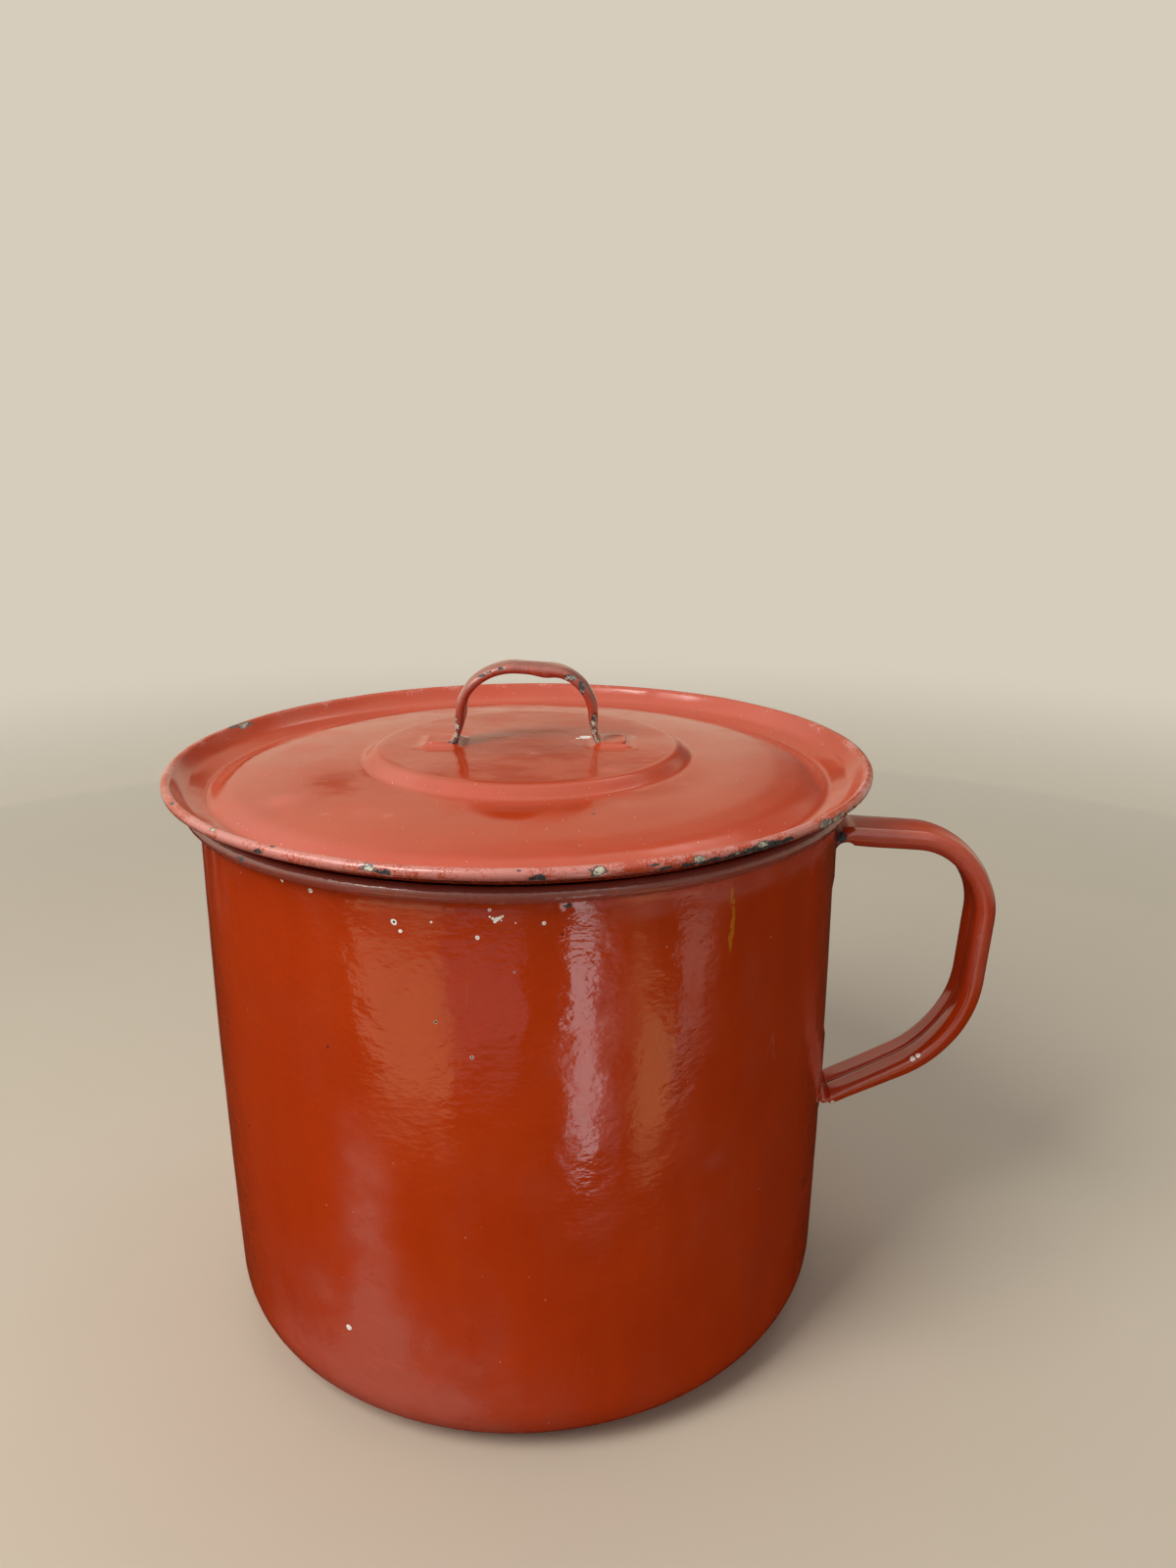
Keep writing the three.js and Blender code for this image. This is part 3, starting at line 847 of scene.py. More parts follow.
sideStrap = {
    **strapSteps,
    "body": "pot", "node": "side_handle", "slot": "handle_enamel", "glaze": "strapEnamel",
    "width": 16.5,
    "sheet": 0.9, "tabSheet": 0.45,      # hammered thinner at the tabs
    "seam": 0.3, "lipDip": 0.4,
    "crown": 0.6,
    "gripDepth": 6.0, "upperDepth": 6.0, "lowerDepth": 3.8, "tabDepth": 1.0,
    "upperDrop": 14.1,       # upper arm below the top of the bead
    "upperSwell": 0.7,       # the upper arm is bowed upwards
    "lowerHeight": 52.6,
    "upperTab": 17.2, "lowerTab": 28.2,
    "upperReach": 51.5, "lowerReach": 46.8,
    "upperFall": 5, "lowerRise": 20.6,
    "upperCorner": 26.5, "lowerCorner": 37.5,
    "upperBend": 6.5, "lowerBend": 3.8,
    "tabCorner": 4,
    "chipSink": 0.15, "chipRagged": 0.25, "chipGrain": 2.2, "chipSeed": 21,
    "ripple": 0.03, "rippleLength": 14, "rippleBias": 1.2,
    "uneven": 1.6, "scratches": 0.3, "dust": 0.04, "pinHoles": 0.03,
    "rubbed": "rubbedRed", "rubbedGloss": 0.15,
    "slowRipple": 0.035, "fineRipple": 0.012,
    # chips: ((x, y, z), length, width, paleness)
    "chips": [
        ((92.5, -7.5, 142.0), 4.5, 3.0, 0.15),
        ((135.6, 6.5, 96.0), 3.2, 1.6, 0.2),
    ],
    # white glints on the bends and the grip, painted as pale pop-off spots: place in metres, radius, pit
    "spotsAndGlints": [
        ((0.1184, -0.0078, 0.0706), 1.0, 0.0), ((0.1200, -0.0076, 0.0716), 0.8, 0.0),
        ((0.0931, -0.0080, 0.0548), 1.1, 0.0), ((0.0948, -0.0080, 0.0556), 0.8, 0.0),
        ((0.1052, -0.0078, 0.0640), 0.5, 0.0),
    ],
}

potRadius = wallRadius(potHeight)
upperZ = potHeight - sideStrap["upperDrop"]
lowerZ = sideStrap["lowerHeight"]
upperEnd, lowerEnd = upperZ - sideStrap["upperTab"], lowerZ + sideStrap["lowerTab"]
sideStrap["tabs"] = [(upperEnd, upperZ - 1.8), (lowerZ + 2.2, lowerEnd)]


# A chip's centre on the side strap, and its length's direction, which is up.
def strapPlace(x, y, z):
    return np.array([x, y, z]), wayUp


# The side strap: up the wall, out along the upper arm, which bows by a squared sine, round the grip,
# back along the lower arm and up the wall inside the loop.
def makeSideStrap():
    strap = sideStrap
    upperBend, lowerBend = strap["upperBend"], strap["lowerBend"]

    # the strap's outer face on a tab: the wall's radius plus the gap under the tab
    def onWall(height):
        return wallRadius(height) + strap["weldGap"]

    path = roundedLine([
        (onWall(upperEnd), upperEnd, 0),
        (onWall(upperZ), upperZ, upperBend),
        (potRadius + strap["upperReach"], upperZ - strap["upperFall"], strap["upperCorner"]),
        (potRadius + strap["lowerReach"], lowerZ + strap["lowerRise"], strap["lowerCorner"]),
        (onWall(lowerZ), lowerZ, lowerBend),
        (onWall(lowerEnd), lowerEnd, 0),
    ])
    path = resampled(path, strap["stations"], 5)
    distance = lengths(path)
    total = distance[-1]
    upperTurn, lowerTurn = strap["upperTab"], total - strap["lowerTab"]   # from tab to arm
    onArm = np.clip((distance - upperTurn) / strap["upperReach"], 0, 1)
    path[:, 1] += strap["upperSwell"] * np.sin(np.pi * onArm) ** 2
    depth = eased([
        (upperTurn - 1.2 * upperBend, strap["tabDepth"]),
        (upperTurn + 0.35 * upperBend, strap["upperDepth"]),
        (upperTurn + strap["upperReach"], strap["gripDepth"]),
        (lowerTurn - strap["lowerReach"], strap["gripDepth"]),
        (lowerTurn, strap["lowerDepth"]),
        (lowerTurn + lowerBend, strap["tabDepth"]),
    ], distance)
    wrap = eased([
        (upperTurn - upperBend, 1.0), (upperTurn + 2 * upperBend, 0.0),
        (lowerTurn - 2 * lowerBend, 0.0), (lowerTurn + lowerBend, 1.0),
    ], distance)
    width = endedWidth(distance, total, strap["width"], strap["tabCorner"])
    sheet = strap["sheet"] + (strap["tabSheet"] - strap["sheet"]) * wrap
    crown = strap["crown"] * (1 - wrap)
    grid, u, v = strapGrid(path, depth, width, crown, sheet, wrap, onWall(path[:, 1]), strap)
    grid, chip, pale, hollow = weathered(grid, strap, strapPlace)

    x, y, z = np.moveaxis(grid, -1, 0)
    atEdge = smooth(np.abs(u), strap["width"] / 2 - 3.2, strap["width"] / 2 - 0.6)
    grip = smooth(distance, upperTurn + 20, upperTurn + 60)[:, None]
    seamSide = smooth(v, 1.2, 2.2) * (1 - smooth(np.abs(u), 1.0, 2.6))
    # Where the upper arm meets the wall under the lid: painted shade of the lid, with a dark joint.
    rootShade = bell(x - wallTop - 1.5, 3.0) * smooth(z, 120, 136)
    # A painted sheen on the grip's front roll, put in as haze.
    rollSheen = smooth(-y, 5.2, 7.6) * smooth(v, -1.5, 0.5) * smooth(z, 84, 100) * (1 - hollow)
    fields = {
        "chip": chip, "pale": pale,
        "wear": 0.02 + 0.08 * atEdge * grip + 0.08 * waves(grid, 16, 23) - 0.3 * hollow,
        "tarnishAndShade": 0.12 * rootShade + 0.3 * seamSide,
        # painted shade inside the rolled hollow and at the root under the lid, and a darker seam
        "grimeAndShade": 0.9 * hollow + 0.35 * seamSide * (1 - hollow) + rootShade,
        "hazeAndSheen": 0.6 * rollSheen,
    }
    makePiece("sideStrap", grid, fields, "edges", strap)


lid = {
    "body": "lid", "node": "lid_shell", "slot": "lid_enamel", "glaze": "lidEnamel",
    "turns": 720, "discRows": 26, "restRows": 62,
    "sheet": 0.9,
    "play": 1.0,
    "edgeRise": 4.7,
    "curlHollow": 0.55,
    "curlStart": 145, "curlEnd": -100,
    "valleyDrop": 1.75, "valleyCorner": 4.2,     # the valley that drops into the mouth
    "flareFoot": 0.5, "flareLift": 0.35,
    "shoulderRun": 6.0, "shoulderRise": 1.5, "shoulderCorner": 14,
    "domeEdge": 73, "domeEdgeRise": 2.95, "domeEdgeCorner": 42,   # where the dome falls faster
    "domeMiddle": 60, "domeMiddleRise": 4.05, "domeMiddleCorner": 240,
    "domeRise": 4.5,
    "stepRadius": 46.8, "stepRun": 3.6, "stepHeight": 3.1, "stepCorner": 3.4,
    "stepOffset": 1.7, "offsetEnds": (49, 80),   # the step was pressed off centre, up to these radii
    "flatMargin": 6,         # from the step in to where the middle is quite flat
    "ringHighlight": (77, 0.5),      # a painted highlight line along the dome's crease, put in as wear: radius, spread
    "dent": 0.05, "dentLength": 40, "dentBias": 1.1,
    "ripple": 0.006, "rippleLength": 12,
    "chipSink": 0.22, "chipRagged": 0.2, "chipGrain": 2.5, "chipSeed": 31,
    "weldRise": 1.2, "weldReach": 3.2,
    "uneven": 1.0, "scratches": 0.4, "dust": 0.5, "pinHoles": 0.04,
    "rubbed": "rubbedPale", "rubbedGloss": 0.08,
    "slowRipple": 0.05, "fineRipple": 0.02,
    # chips on the curled edge: ((azimuth, height above the seat), length, width, paleness)
    "chips": [
        ((-148, 6.0), 2.0, 1.2, 0.2), ((-133, 6.1), 1.8, 1.6, 0.7),
        ((-122.6, 4.5), 3.4, 1.2, 0.0), ((-120.7, 6.2), 1.5, 1.1, 0.0),
        ((-105.6, 5.3), 3.6, 2.0, 0.62), ((-103.6, 4.6), 3.2, 1.9, 0.1),
        ((-86.7, 5.9), 1.0, 0.8, 0.0), ((-84.4, 4.1), 4.8, 1.6, 0.0),
        ((-77, 4.9), 3.8, 2.8, 0.62),
        ((-70, 5.2), 4.0, 0.8, 0.0),
        ((-68, 3.8), 6.0, 1.3, 0.0), ((-65, 3.8), 6.0, 1.5, 0.0), ((-61.5, 3.8), 8.0, 1.7, 0.0),
        ((-57.5, 3.9), 8.0, 2.0, 0.2), ((-54, 4.1), 8.0, 2.4, 0.3), ((-51, 4.2), 7.0, 2.6, 0.1),
        ((-48.4, 4.3), 4.5, 1.6, 0.0),
        ((-63.5, 4.9), 2.8, 2.2, 0.65), ((-57.2, 4.4), 3.6, 1.6, 0.65), ((-53.2, 5.1), 3.6, 2.4, 0.6),
        ((-39.4, 4.7), 7.0, 2.0, 0.5), ((-35.4, 4.4), 8.0, 2.1, 0.6), ((-31, 4.0), 8.0, 1.9, 0.5),
        ((-27.4, 3.8), 4.0, 1.2, 0.1),
        ((159.4, 6.9), 6.5, 2.6, 0.5), ((162.5, 6.4), 4.0, 1.6, 0.2),
        ((48, 4.6), 5.0, 1.8, 0.4), ((83, 5.6), 3.0, 1.6, 0.6), ((118, 4.2), 8.0, 1.6, 0.3),
    ],
    # pop-offs on the flat middle: x, y, radius, pit
    "spots": [(18.4, 6.6, 1.9, 0.0), (16.2, 5.2, 0.8, 0.0)],
    # pale smudges and knocks on its top: x, y, size, strength
    "smudges": [
        (-29.2, -56.7, 1.3, 1.6), (-45.4, -54.5, 1.3, 1.2), (-59.2, -42.5, 6, 0.7),
        (-35.4, -54.4, 4, 0.6), (-82, -35.5, 5, 0.8), (24.7, -29, 2.4, 0.7), (4.2, -11.9, 2, 0.6),
        (-27, -31, 6, 0.4), (-64, 10, 8, 0.4), (-30, 52, 9, 0.4), (44, 38, 7, 0.5), (62, -16, 5, 0.4),
    ],
}

lidRadius, _, discTop = topCorner(lid["node"])
lidSeat = potHeight + seatGap
curlMiddle = lid["curlHollow"] + lid["sheet"] / 2
curlOuter = curlMiddle + lid["sheet"] / 2
curlCentre = np.array([lidRadius - curlOuter, lidSeat + lid["edgeRise"]])


# A chip's centre on the unrolled rim, whose curl has a circle for its section, and its length's
# direction. Past the curl's crest it moves inwards and down along the flare.
def rimPlace(azimuth, rise):
    lift = np.clip((rise - lid["edgeRise"]) / curlOuter, -1, 1)
    inward = max(rise - lid["edgeRise"] - curlOuter, 0)
    radius = curlCentre[0] + curlOuter * math.sqrt(1 - lift ** 2) - 1.8 * inward
    return unrolled(azimuth, radius, lidSeat + rise - 1.95 * inward, lidRadius), wayRound


# The lid: flat middle, step, dome, valley and seat, then a flare that reaches the curl along the
# curl's own radius, as the middle line of a sheet that is spun.
def makeLid(arch):
    half = lid["sheet"] / 2
    seat = lidSeat + half
    plug = wallTop - pot["sheet"] - lid["play"] - half
    valley = np.array([plug, seat - lid["valleyDrop"]])
    flareFoot = np.array([beadMiddle + lid["flareFoot"], seat + lid["flareLift"]])
    discEdge = lid["stepRadius"] - lid["stepRun"]
    stepFoot = seat + lid["domeRise"]
    stepTop = stepFoot + lid["stepHeight"]
    line = roundedLine([
        (discEdge - lid["flatMargin"], stepTop, 0),
        (discEdge, stepTop, lid["stepCorner"]),
        (lid["stepRadius"], stepFoot, lid["stepCorner"]),
        (lid["domeMiddle"], seat + lid["domeMiddleRise"], lid["domeMiddleCorner"]),
        (lid["domeEdge"], seat + lid["domeEdgeRise"], lid["domeEdgeCorner"]),
        (plug - lid["shoulderRun"], seat + lid["shoulderRise"], lid["shoulderCorner"]),
        (*valley, lid["valleyCorner"]),
        (*flareFoot, 0),
    ])
    curl = arc(*curlCentre, curlMiddle, lid["curlStart"], lid["curlEnd"], 80)
    start = math.radians(lid["curlStart"])
    outwards, ahead = np.array([math.cos(start), math.sin(start)]), flareFoot - valley
    share = (curl[0] - flareFoot) @ outwards / (ahead @ outwards)
    flare = bezier([flareFoot, flareFoot + share * ahead, curl[0]], 20)
    line = np.vstack([line, flare[1:], curl[1:]])
    radii = np.linspace(2, discEdge - lid["flatMargin"], lid["discRows"], endpoint=False)
    disc = np.column_stack([radii, np.full_like(radii, line[0, 1])])
    under, top = sheetFaces(np.vstack([disc, resampled(line, lid["restRows"], 5)]), lid["sheet"])
    grid, isUnder, radius, azimuth = turnedSheet(top, under, lid["turns"])
    isTop = 1 - isUnder
    x, y, z = np.moveaxis(grid, -1, 0)
    x += lid["stepOffset"] * (1 - smooth(radius, *lid["offsetEnds"]))

    weld = pooled(y, x, arch["feet"], arch["width"], lid) * isTop
    chip, pale = raggedChips(unrolled(azimuth, radius, z, lidRadius), grid, lid, rimPlace)
    grid = raised(grid, pressed(grid, lid, 32) + weld - lid["chipSink"] * smooth(chip, 0, chipFloor))

    edge = smooth(radius, lidRadius - 4.6, lidRadius - 1.8) * isTop
    handled = 0.36 + 0.17 * np.cos(np.radians(azimuth + 90))
    # Painted shade in the gap under the flare, put in as grime.
    underFlare = smooth(radius, beadMiddle - 0.5, beadMiddle + 1.5) * isUnder
    # The underside of the curl is darkened as painted shade, with some dirt.
    lowEdge = edge * (1 - smooth(z, lidSeat + 3.2, lidSeat + 5.0))
    grooveDirt = bell(radius - plug - 0.5, 1.5) * isTop
    stepDirt = bell(radius - lid["stepRadius"] - 0.4, 0.9) * isTop
    ridgeRadius, ridgeSpread = lid["ringHighlight"]
    inFront = 1 - smooth(np.abs(turnBetween(azimuth, -90)), 22, 40)
    # a painted highlight line along the dome's crease, in front only
    ringHighlight = bell(radius - ridgeRadius, ridgeSpread) * inFront
    smudge = sum(strength * np.exp(-((x - atX) ** 2 + (y - atY) ** 2) / size ** 2)
                 for atX, atY, size, strength in lid["smudges"])
    fields = {
        "chip": chip, "pale": pale,
        "wear": 0.02 + edge * (handled + 0.2 * waves(grid, 14, 34)) + 0.1 * stepDirt + 0.14 * ringHighlight,
        "tarnishAndShade": 0.5 * lowEdge + 0.24 * edge,
        "lining": isUnder * (1 - smooth(radius, beadMiddle - 3.0, beadMiddle - 1.8)),
        "grimeAndShade": (0.4 * grooveDirt + 0.3 * stepDirt + 0.4 * smooth(weld, 0.05, 0.5) * isTop
                  + 0.5 * lowEdge + 1.1 * underFlare),
        "hazeAndSheen": (0.06 + smudge) * isTop,
    }
    spotsAndGlints = [((right * mm, back * mm, discTop * mm), size, pit)
               for right, back, size, pit in lid["spots"]]
    makePiece("lidDish", grid, fields, "poles", dict(lid, spotsAndGlints=spotsAndGlints))


archStrap = {
    **strapSteps,
    "body": "lid", "node": "lid_handle", "slot": "lid_handle_enamel", "glaze": "archEnamel",
    "width": 11,
    "sheet": 0.8, "footSheet": 0.5,
    "seam": 1.4, "lipDip": 0.2,
    "crown": 0.35,
    "depth": 2.6, "footDepth": 1.15,
    # outside of the legs at the lid, and the corners of each half above it: bent by hand
    "leftLeg": -19.1, "rightLeg": 22.0,
    "leftKnee": (-17.8, 16.2), "rightKnee": (21.7, 14.4),
    "leftShoulder": (-7.0, 23.9), "rightShoulder": (14.0, 22.5),
    "kneeCorner": 14.5, "shoulderCorner": 18.5,
    "foot": 8.2, "footBend": 1.6,
    "rollRun": 7,            # along each leg, until its edges are fully rolled
    "footCorner": 3,
    "sprung": (7.5, 3.4, 0.75),   # where its roll has sprung open: x, spread, extra depth
    "legFrom": 16,           # past this x, chips run up the legs
    "chipSink": 0.15, "chipRagged": 0.3, "chipGrain": 2.0, "chipSeed": 41,
    "ripple": 0.05, "rippleLength": 8, "rippleBias": 1.2,
    "uneven": 1.5, "scratches": 0.5, "dust": 0.1, "pinHoles": 0.05,
    "rubbed": "rubbedRed", "rubbedGloss": 0.12,
    "slowRipple": 0.03, "fineRipple": 0.012,
    # chips: ((x, y, height above the disc), length, width, paleness)
    "chips": [
        ((-11.5, -5.2, 20.6), 3.8, 1.2, 0.2), ((-8.8, -5.3, 21.7), 2.0, 1.0, 0.0),
        ((-4.9, -5.3, 22.6), 2.2, 0.9, 0.0), ((3.2, 5.2, 22.9), 7.6, 1.7, 0.1),
        ((14.6, -5.0, 20.2), 3.4, 2.2, 0.5), ((17.6, -5.2, 17.4), 4.6, 1.8, 0.3),
        ((21.2, -4.6, 6.4), 7.0, 3.0, 0.62), ((21.8, -5.0, 2.6), 4.0, 2.4, 0.5),
        ((-19.0, -4.6, 5.2), 8.0, 3.6, 0.62), ((-19.6, -5.2, 2.0), 4.4, 2.6, 0.3),
        ((-17.6, 5.2, 12.0), 3.6, 1.6, 0.1), ((19.4, 5.2, 9.0), 4.2, 1.5, 0.4),
    ],
    "spotsAndGlints": [],
}
archStrap["feet"] = [
    (archStrap["leftLeg"] - archStrap["foot"] + 0.4, archStrap["leftLeg"]),
    (archStrap["rightLeg"], archStrap["rightLeg"] + archStrap["foot"] - 0.4),
]


# A chip's centre on the arch, and its length's direction: up on the legs, level on the top.
def archPlace(x, y, rise):
    return np.array([x, y, discTop + rise]), wayUp if abs(x) > archStrap["legFrom"] else wayAcross


# The lid's arch: from foot to foot over the two knees and shoulders. Its edges are rolled in as the
# legs rise from the feet, and its width wavers with a sine.
def makeArch():
    strap = archStrap
    foot, bend = strap["foot"], strap["footBend"]
    footTop = strap["weldGap"] + strap["footDepth"]
    path = roundedLine([
        (strap["leftLeg"] - foot, footTop, 0),
        (strap["leftLeg"], footTop, bend),
        (*strap["leftKnee"], strap["kneeCorner"]),
        (*strap["leftShoulder"], strap["shoulderCorner"]),
        (*strap["rightShoulder"], strap["shoulderCorner"]),
        (*strap["rightKnee"], strap["kneeCorner"]),
        (strap["rightLeg"], footTop, bend),
        (strap["rightLeg"] + foot, footTop, 0),
    ])
    path[:, 1] += discTop
    path = resampled(path, strap["stations"], 3)
    distance = lengths(path)
    total = distance[-1]
    rise = smooth(np.minimum(distance, total - distance), foot - bend, foot + strap["rollRun"])
    middle, spread, extra = strap["sprung"]
    depth = strap["footDepth"] + (strap["depth"] - strap["footDepth"]) * rise
    depth = depth + extra * bell(path[:, 0] - middle, spread) * rise
    width = endedWidth(distance, total, strap["width"], strap["footCorner"])
    width = width - 0.2 * rise * (1 + np.sin(path[:, 0] / 2.3))
    sheet = strap["footSheet"] + (strap["sheet"] - strap["footSheet"]) * rise
    wrap, wall = np.zeros_like(distance), np.full_like(distance, strap["width"])
    grid, u, v = strapGrid(path, depth, width, strap["crown"] * rise, sheet, wrap, wall, strap)
    grid, chip, pale, hollow = weathered(grid, strap, archPlace)

    leg = np.broadcast_to(smooth(rise, 0.05, 0.4)[:, None], u.shape)
    legFoot = bell(grid[..., 2] - discTop - 2.2, 1.2) * leg
    crest = smooth(grid[..., 2], discTop + 8, discTop + 20)
    outerFace = 1 - smooth(v, 0.6, 1.8)
    atEdge = smooth(np.abs(u), 3.2, 5.2)
    fields = {
        "chip": chip, "pale": pale,
        "wear": (0.2 * leg + crest * (0.3 * outerFace + 0.2 * atEdge)
                 + 0.1 * waves(grid, 9, 43) - 0.3 * hollow),
        "tarnishAndShade": leg * (0.6 + 0.3 * crest - 0.4 * atEdge * crest),
        # painted shade inside the rolled hollow, with dirt on the arch and at its feet
        "grimeAndShade": 0.9 * hollow + 0.4 * leg + 0.9 * legFoot,
    }
    makePiece("lidArch", grid, fields, "edges", strap)


makePot(sideStrap)
makeSideStrap()
makeLid(archStrap)
makeArch()

stage = {
    "floorRadius": 1.2,
    "fadeFrom": 0.35, "fadeTo": 1.1,  # metres from the pot over which the floor melts into the backdrop
    "floor": paint(208, 198, 180),
    "backdrop": paint(214, 205, 188),
    # what the glaze mirrors, upwards from the horizon: (sines of the elevation, colour above them)
    "horizon": (0.80, 0.67, 0.50),
    "lean": 0.29,            # and how much the bands rise from left to right
    "mirrored": [
        ((0.55, 0.64), (0.58, 0.47, 0.38)),
        ((0.78, 0.90), (1.85, 1.6, 1.32)),
    ],
    # soft-edged things in it: direction, size across and upwards, colour
    "things": [
        ((-0.683, -0.183, 0.707), (1.08, 0.83), (2.5, 2.3, 2.0)),
        ((0.367, 0.926, 0.087), (0.21, 1.60), (0.21, 0.17, 0.14)),
        ((-0.058, 0.952, 0.299), (0.175, 0.048), (0.12, 0.10, 0.08)),
        ((-0.046, 0.942, 0.332), (0.067, 0.130), (0.20, 0.17, 0.13)),
        ((-0.250, 0.920, 0.301), (0.047, 0.039), (0.14, 0.12, 0.09)),
        ((0.713, 0.079, 0.697), (0.413, 0.204), (1.27, 1.06, 0.84)),
        ((0.331, 0.519, 0.788), (0.13, 0.10), (3.2, 2.7, 2.4)),
    ],
    "ambient": 0.19,
    "target": Vector((0, 0, 0.1)),   # what lamps and panes face
    "paneColour": (1.0, 0.97, 0.94, 1.0),
}


# A plain floor: rings of points, spaced as the square of their number, spun about Z. It fades into
# the backdrop with its distance from the middle.
def makeFloor():
    rings = np.linspace(0.06, 1, 24) ** 2 * stage["floorRadius"]
    grid = spun(np.column_stack([rings, np.zeros_like(rings)]), 96)
    index, _, quads = gridQuads(grid)
    mesh = bpy.data.meshes.new("floor")
    faces = quads[:, [0, 3, 2, 1]].tolist() + [index[0].tolist()]
    mesh.from_pydata(grid.reshape(-1, 3).tolist(), [], faces)
    material, tree, shader = newMaterial("paleFloor")
    place = addNode(tree, "TexCoord").outputs["Object"]
    deeper = (*[0.96 * value for value in stage["floor"][:3]], 1.0)
    colour = blended(tree, noise(tree, place, 60, 4.0), stage["floor"], deeper)
    tree.links.new(colour, shader.inputs["Base Color"])
    shown = fromTo(tree, vectors(tree, "LENGTH", place), stage["fadeFrom"], stage["fadeTo"], 1.0, 0.0)
    tree.links.new(shown, shader.inputs["Alpha"])
    shader.inputs["Roughness"].default_value = 0.85
    shader.inputs["Specular IOR Level"].default_value = 0.2
    mesh.materials.append(material)
    newObject("floor", mesh)


# The backdrop is plain and pale to the camera. Reflections see it in soft bands, and as a light it
# is dim and even.
def makeWorld():
    world = bpy.data.worlds.new("backdrop")
    world.use_nodes = True
    tree = world.node_tree
    path = addNode(tree, "LightPath").outputs
    direction = addNode(tree, "TexCoord").outputs["Generated"]
    parts = addNode(tree, "SeparateXYZ", {0: direction}).outputs
    height = maths(tree, "MULTIPLY_ADD", parts["X"], stage["lean"], parts["Z"])
    patches = fromTo(tree, noise(tree, direction, 260), 0.3, 0.7, -0.012, 0.012)
    uneven = maths(tree, "ADD", height, patches)
    mirrored = (*stage["horizon"], 1.0)
    for (low, high), above in stage["mirrored"]:
        mirrored = blended(tree, fromTo(tree, uneven, low, high), mirrored, (*above, 1.0))
    for towards, (across, upwards), colour in stage["things"]:
        apart = vectors(tree, "SUBTRACT", direction, towards)
        far = vectors(tree, "LENGTH", vectors(tree, "DIVIDE", apart, (across, across, upwards)))
        mirrored = blended(tree, fromTo(tree, far, 0.4, 1.2, 1.0, 0.0), mirrored, (*colour, 1.0))
    seen = maths(tree, "MAXIMUM", path["Is Glossy Ray"], path["Is Transmission Ray"])
    colour = blended(tree, seen, (*[stage["ambient"]] * 3, 1.0), mirrored)
    colour = blended(tree, path["Is Camera Ray"], colour, stage["backdrop"])
    tree.links.new(colour, tree.nodes["Background"].inputs["Color"])
    bpy.context.scene.world = world


# Lamps are rectangles that face the pot: azimuth and elevation in degrees, sizes in metres, and
# the brightness of their face, where 1 is white.
lamps = {
    "key": {"azimuth": -137, "elevation": 47, "distance": 1.3, "size": (0.5, 0.75),
            "level": 10.5, "mirrored": True, "colour": (1.0, 0.96, 0.90)},
    "top": {"azimuth": 80, "elevation": 74, "distance": 1.5, "size": (1.4, 1.1),
            "level": 1.4, "mirrored": False, "colour": (1.0, 0.96, 0.90)},
    "fill": {"azimuth": -28, "elevation": 25, "distance": 1.6, "size": (0.9, 0.9),
             "level": 0.4, "mirrored": False, "colour": (1.0, 0.92, 0.82)},
    "second": {"azimuth": -92, "elevation": 24, "distance": 1.4, "size": (0.4, 0.5),
               "level": 2.1, "mirrored": False, "colour": (1.0, 0.98, 0.96)},
}

# Panes, as far off as the lamps, that only reflections see: they put the thin glints on the beads and
# the rolled straps.
panes = {
    "left": {"azimuth": -175, "elevation": 46, "distance": 1.3, "size": (0.2, 0.45), "level": 15},
    "high": {"azimuth": -130, "elevation": 46, "distance": 1.3, "size": (0.15, 0.3), "level": 18},
    "front": {"azimuth": -66, "elevation": 42, "distance": 1.3, "size": (0.7, 0.85), "level": 2.0},
}

# Low cards stand on the floor and only show as reflections in the wall. Each faces the pot from
# `centre`, its outline is given in millimetres along it and upwards, and level 1 is white.
cards = {
    "window": {"centre": (74, -201), "level": 3.3, "colour": (0.93, 1.0, 1.04),
               "outline": [(-19, 0), (8, 0), (11, 97), (-18, 97)]},
    "windowSide": {"centre": (86, -193), "level": 0.5, "colour": (0.9, 0.9, 1.0),
                   "outline": [(-10, -8), (12, -8), (10, 90), (-8, 90)]},
    "curtain": {"centre": (124, -160), "level": 1.6, "colour": (1.0, 0.66, 0.30),
                "outline": [(-18, 0), (2, 0), (20, 44), (16, 70), (-8, 74), (-10, 98), (-16, 98)]},
    "curtainEdge": {"centre": (150, -128), "level": 1.0, "colour": (1.0, 0.78, 0.66),
                    "outline": [(-30, 34), (-18, 30), (6, 62), (22, 104), (-16, 104), (-14, 66)]},
    "doorway": {"centre": (-132, -209), "level": 1.35, "colour": (1.0, 0.78, 0.44),
                "outline": [(-18, 6), (66, 2), (78, 78), (-62, 78), (-52, 44)]},
    "apron": {"centre": (-30, -240), "level": 0.45, "colour": (0.72, 0.8, 1.0),
              "outline": [(-42, 22), (40, 30), (48, 84), (-46, 84)]},
}

# A dark ring on the floor that only reflections see, so that the foot of the wall stays deep red.
darkMat = {"inner": 0.079, "outer": 0.62, "height": 0.0004, "turns": 64, "colour": paint(64, 44, 32)}


# The unit vector towards a lamp or pane: the cosines and sine of its elevation, with the level part
# turned to its azimuth.
def awayTo(place):
    turn, rise = math.radians(place["azimuth"]), math.radians(place["elevation"])
    return Vector((math.cos(turn) * math.cos(rise), math.sin(turn) * math.cos(rise), math.sin(rise)))


# A lamp: its energy is the level of its face times pi times its area.
def makeLamp(name, lamp):
    away = awayTo(lamp)
    data = bpy.data.lights.new(name, "AREA")
    data.shape = "RECTANGLE"
    data.size, data.size_y = lamp["size"]
    data.energy = lamp["level"] * math.pi * data.size * data.size_y
    data.color = lamp["colour"]
    made = newObject(name, data)
    made.location = stage["target"] + away * lamp["distance"]
    made.rotation_euler = away.to_track_quat("Z", "Y").to_euler()
    made.visible_camera = False
    made.visible_glossy = lamp["mirrored"]


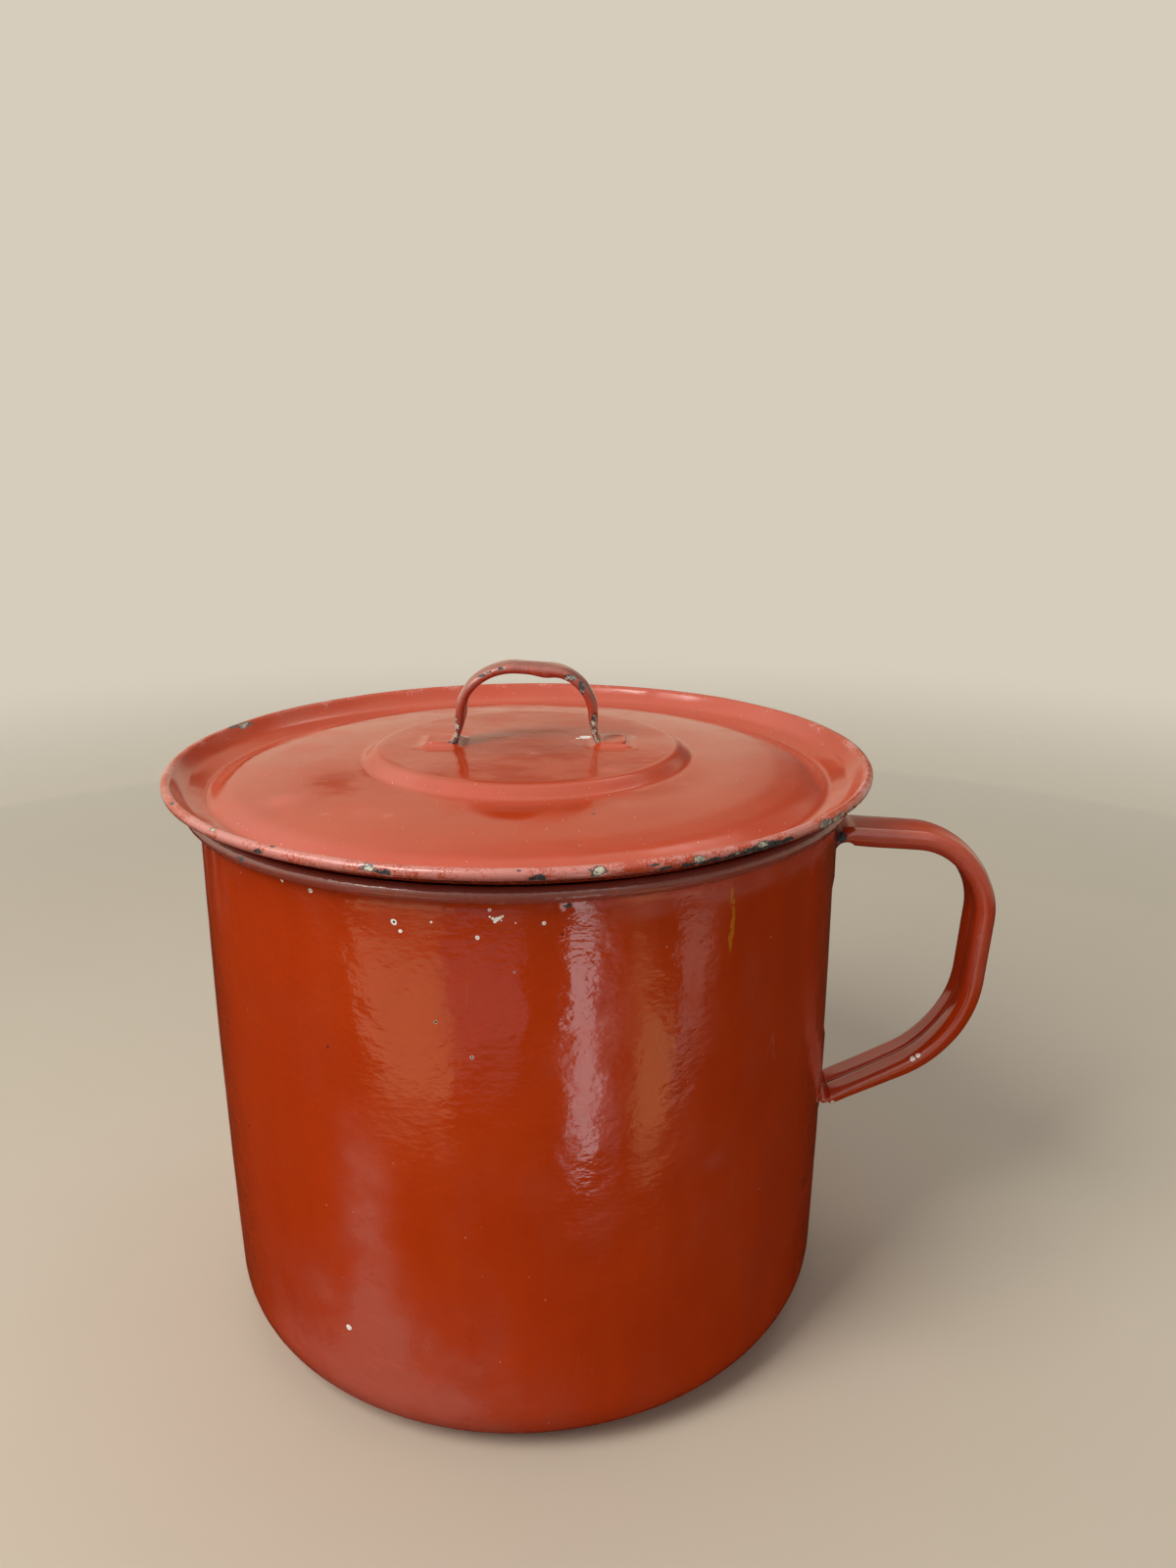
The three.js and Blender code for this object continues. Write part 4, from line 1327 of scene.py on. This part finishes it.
# A stage piece that only reflections see: it lights nothing and casts no shadow.
def makeReflected(name, points, faces, kind, inputs):
    material, tree, shader = newMaterial(name)
    tree.nodes.remove(shader)
    shader = addNode(tree, kind, inputs)
    tree.links.new(shader.outputs[0], tree.nodes["Material Output"].inputs["Surface"])
    mesh = bpy.data.meshes.new(name)
    mesh.from_pydata(points, [], faces)
    mesh.materials.append(material)
    made = newObject(name, mesh)
    made.visible_camera = False
    made.visible_diffuse = False
    made.visible_shadow = False


# A bright stage piece with one face.
def makeShining(name, corners, colour, level):
    points, faces = [tuple(corner) for corner in corners], [list(range(len(corners)))]
    makeReflected(name, points, faces, "Emission", {"Color": colour, "Strength": level})


# A card's corners: its centre plus the level direction that faces the pot squarely times the first
# number of each corner, and its height.
def makeCard(name, card):
    centre = Vector((*card["centre"], 0))
    along = Vector((-centre.y, centre.x, 0)).normalized()
    corners = [(centre + along * across + Vector((0, 0, up))) * mm for across, up in card["outline"]]
    makeShining(name, corners, (*card["colour"], 1.0), card["level"])


# A pane's corners: its centre on the way out at its azimuth and elevation, plus and minus half its
# width along the level direction and half its height square to both.
def makePane(name, pane):
    away = awayTo(pane)
    along = Vector((-away.y, away.x, 0)).normalized()
    centre, upward = stage["target"] + away * pane["distance"], along.cross(away) * pane["size"][1] / 2
    along = along * pane["size"][0] / 2
    corners = [centre + along * side + upward * up for side, up in ((-1, -1), (1, -1), (1, 1), (-1, 1))]
    makeShining(name, corners, stage["paneColour"], pane["level"])


# All that lights the pot or shows in its glaze.
def makeLight():
    for name, lamp in lamps.items():
        makeLamp(name, lamp)
    for name, card in cards.items():
        makeCard(name, card)
    for name, pane in panes.items():
        makePane(name, pane)
    profile = np.array([[darkMat["inner"], darkMat["height"]], [darkMat["outer"], darkMat["height"]]])
    ring = spun(profile, darkMat["turns"])
    faces = gridQuads(ring)[2][:, [0, 3, 2, 1]].tolist()
    inputs = {"Color": darkMat["colour"]}
    makeReflected("darkMat", ring.reshape(-1, 3).tolist(), faces, "BsdfDiffuse", inputs)


view = {
    "place": (0.02239, -0.33058, 0.25229),
    "forward": (-0.00926, 0.95969, -0.28091),
    "up": (-0.00225, 0.28090, 0.95973),
    "lens": 27.05, "sensor": 36,
    "nearest": 0.01,
}


# The camera: its axes are the side, which is forward x up, then side x forward, and backward.
def makeCamera():
    camera = newObject("camera", bpy.data.cameras.new("camera"))
    camera.data.lens, camera.data.sensor_width = view["lens"], view["sensor"]
    camera.data.clip_start = view["nearest"]
    forward = Vector(view["forward"]).normalized()
    side = forward.cross(Vector(view["up"])).normalized()
    turn = Matrix((side, side.cross(forward), -forward)).transposed().to_4x4()
    camera.matrix_world = Matrix.Translation(view["place"]) @ turn
    bpy.context.scene.camera = camera


makeFloor()
makeWorld()
makeLight()
makeCamera()
bpy.context.scene.view_settings.view_transform = "Standard"
print("stage, light and camera ready")
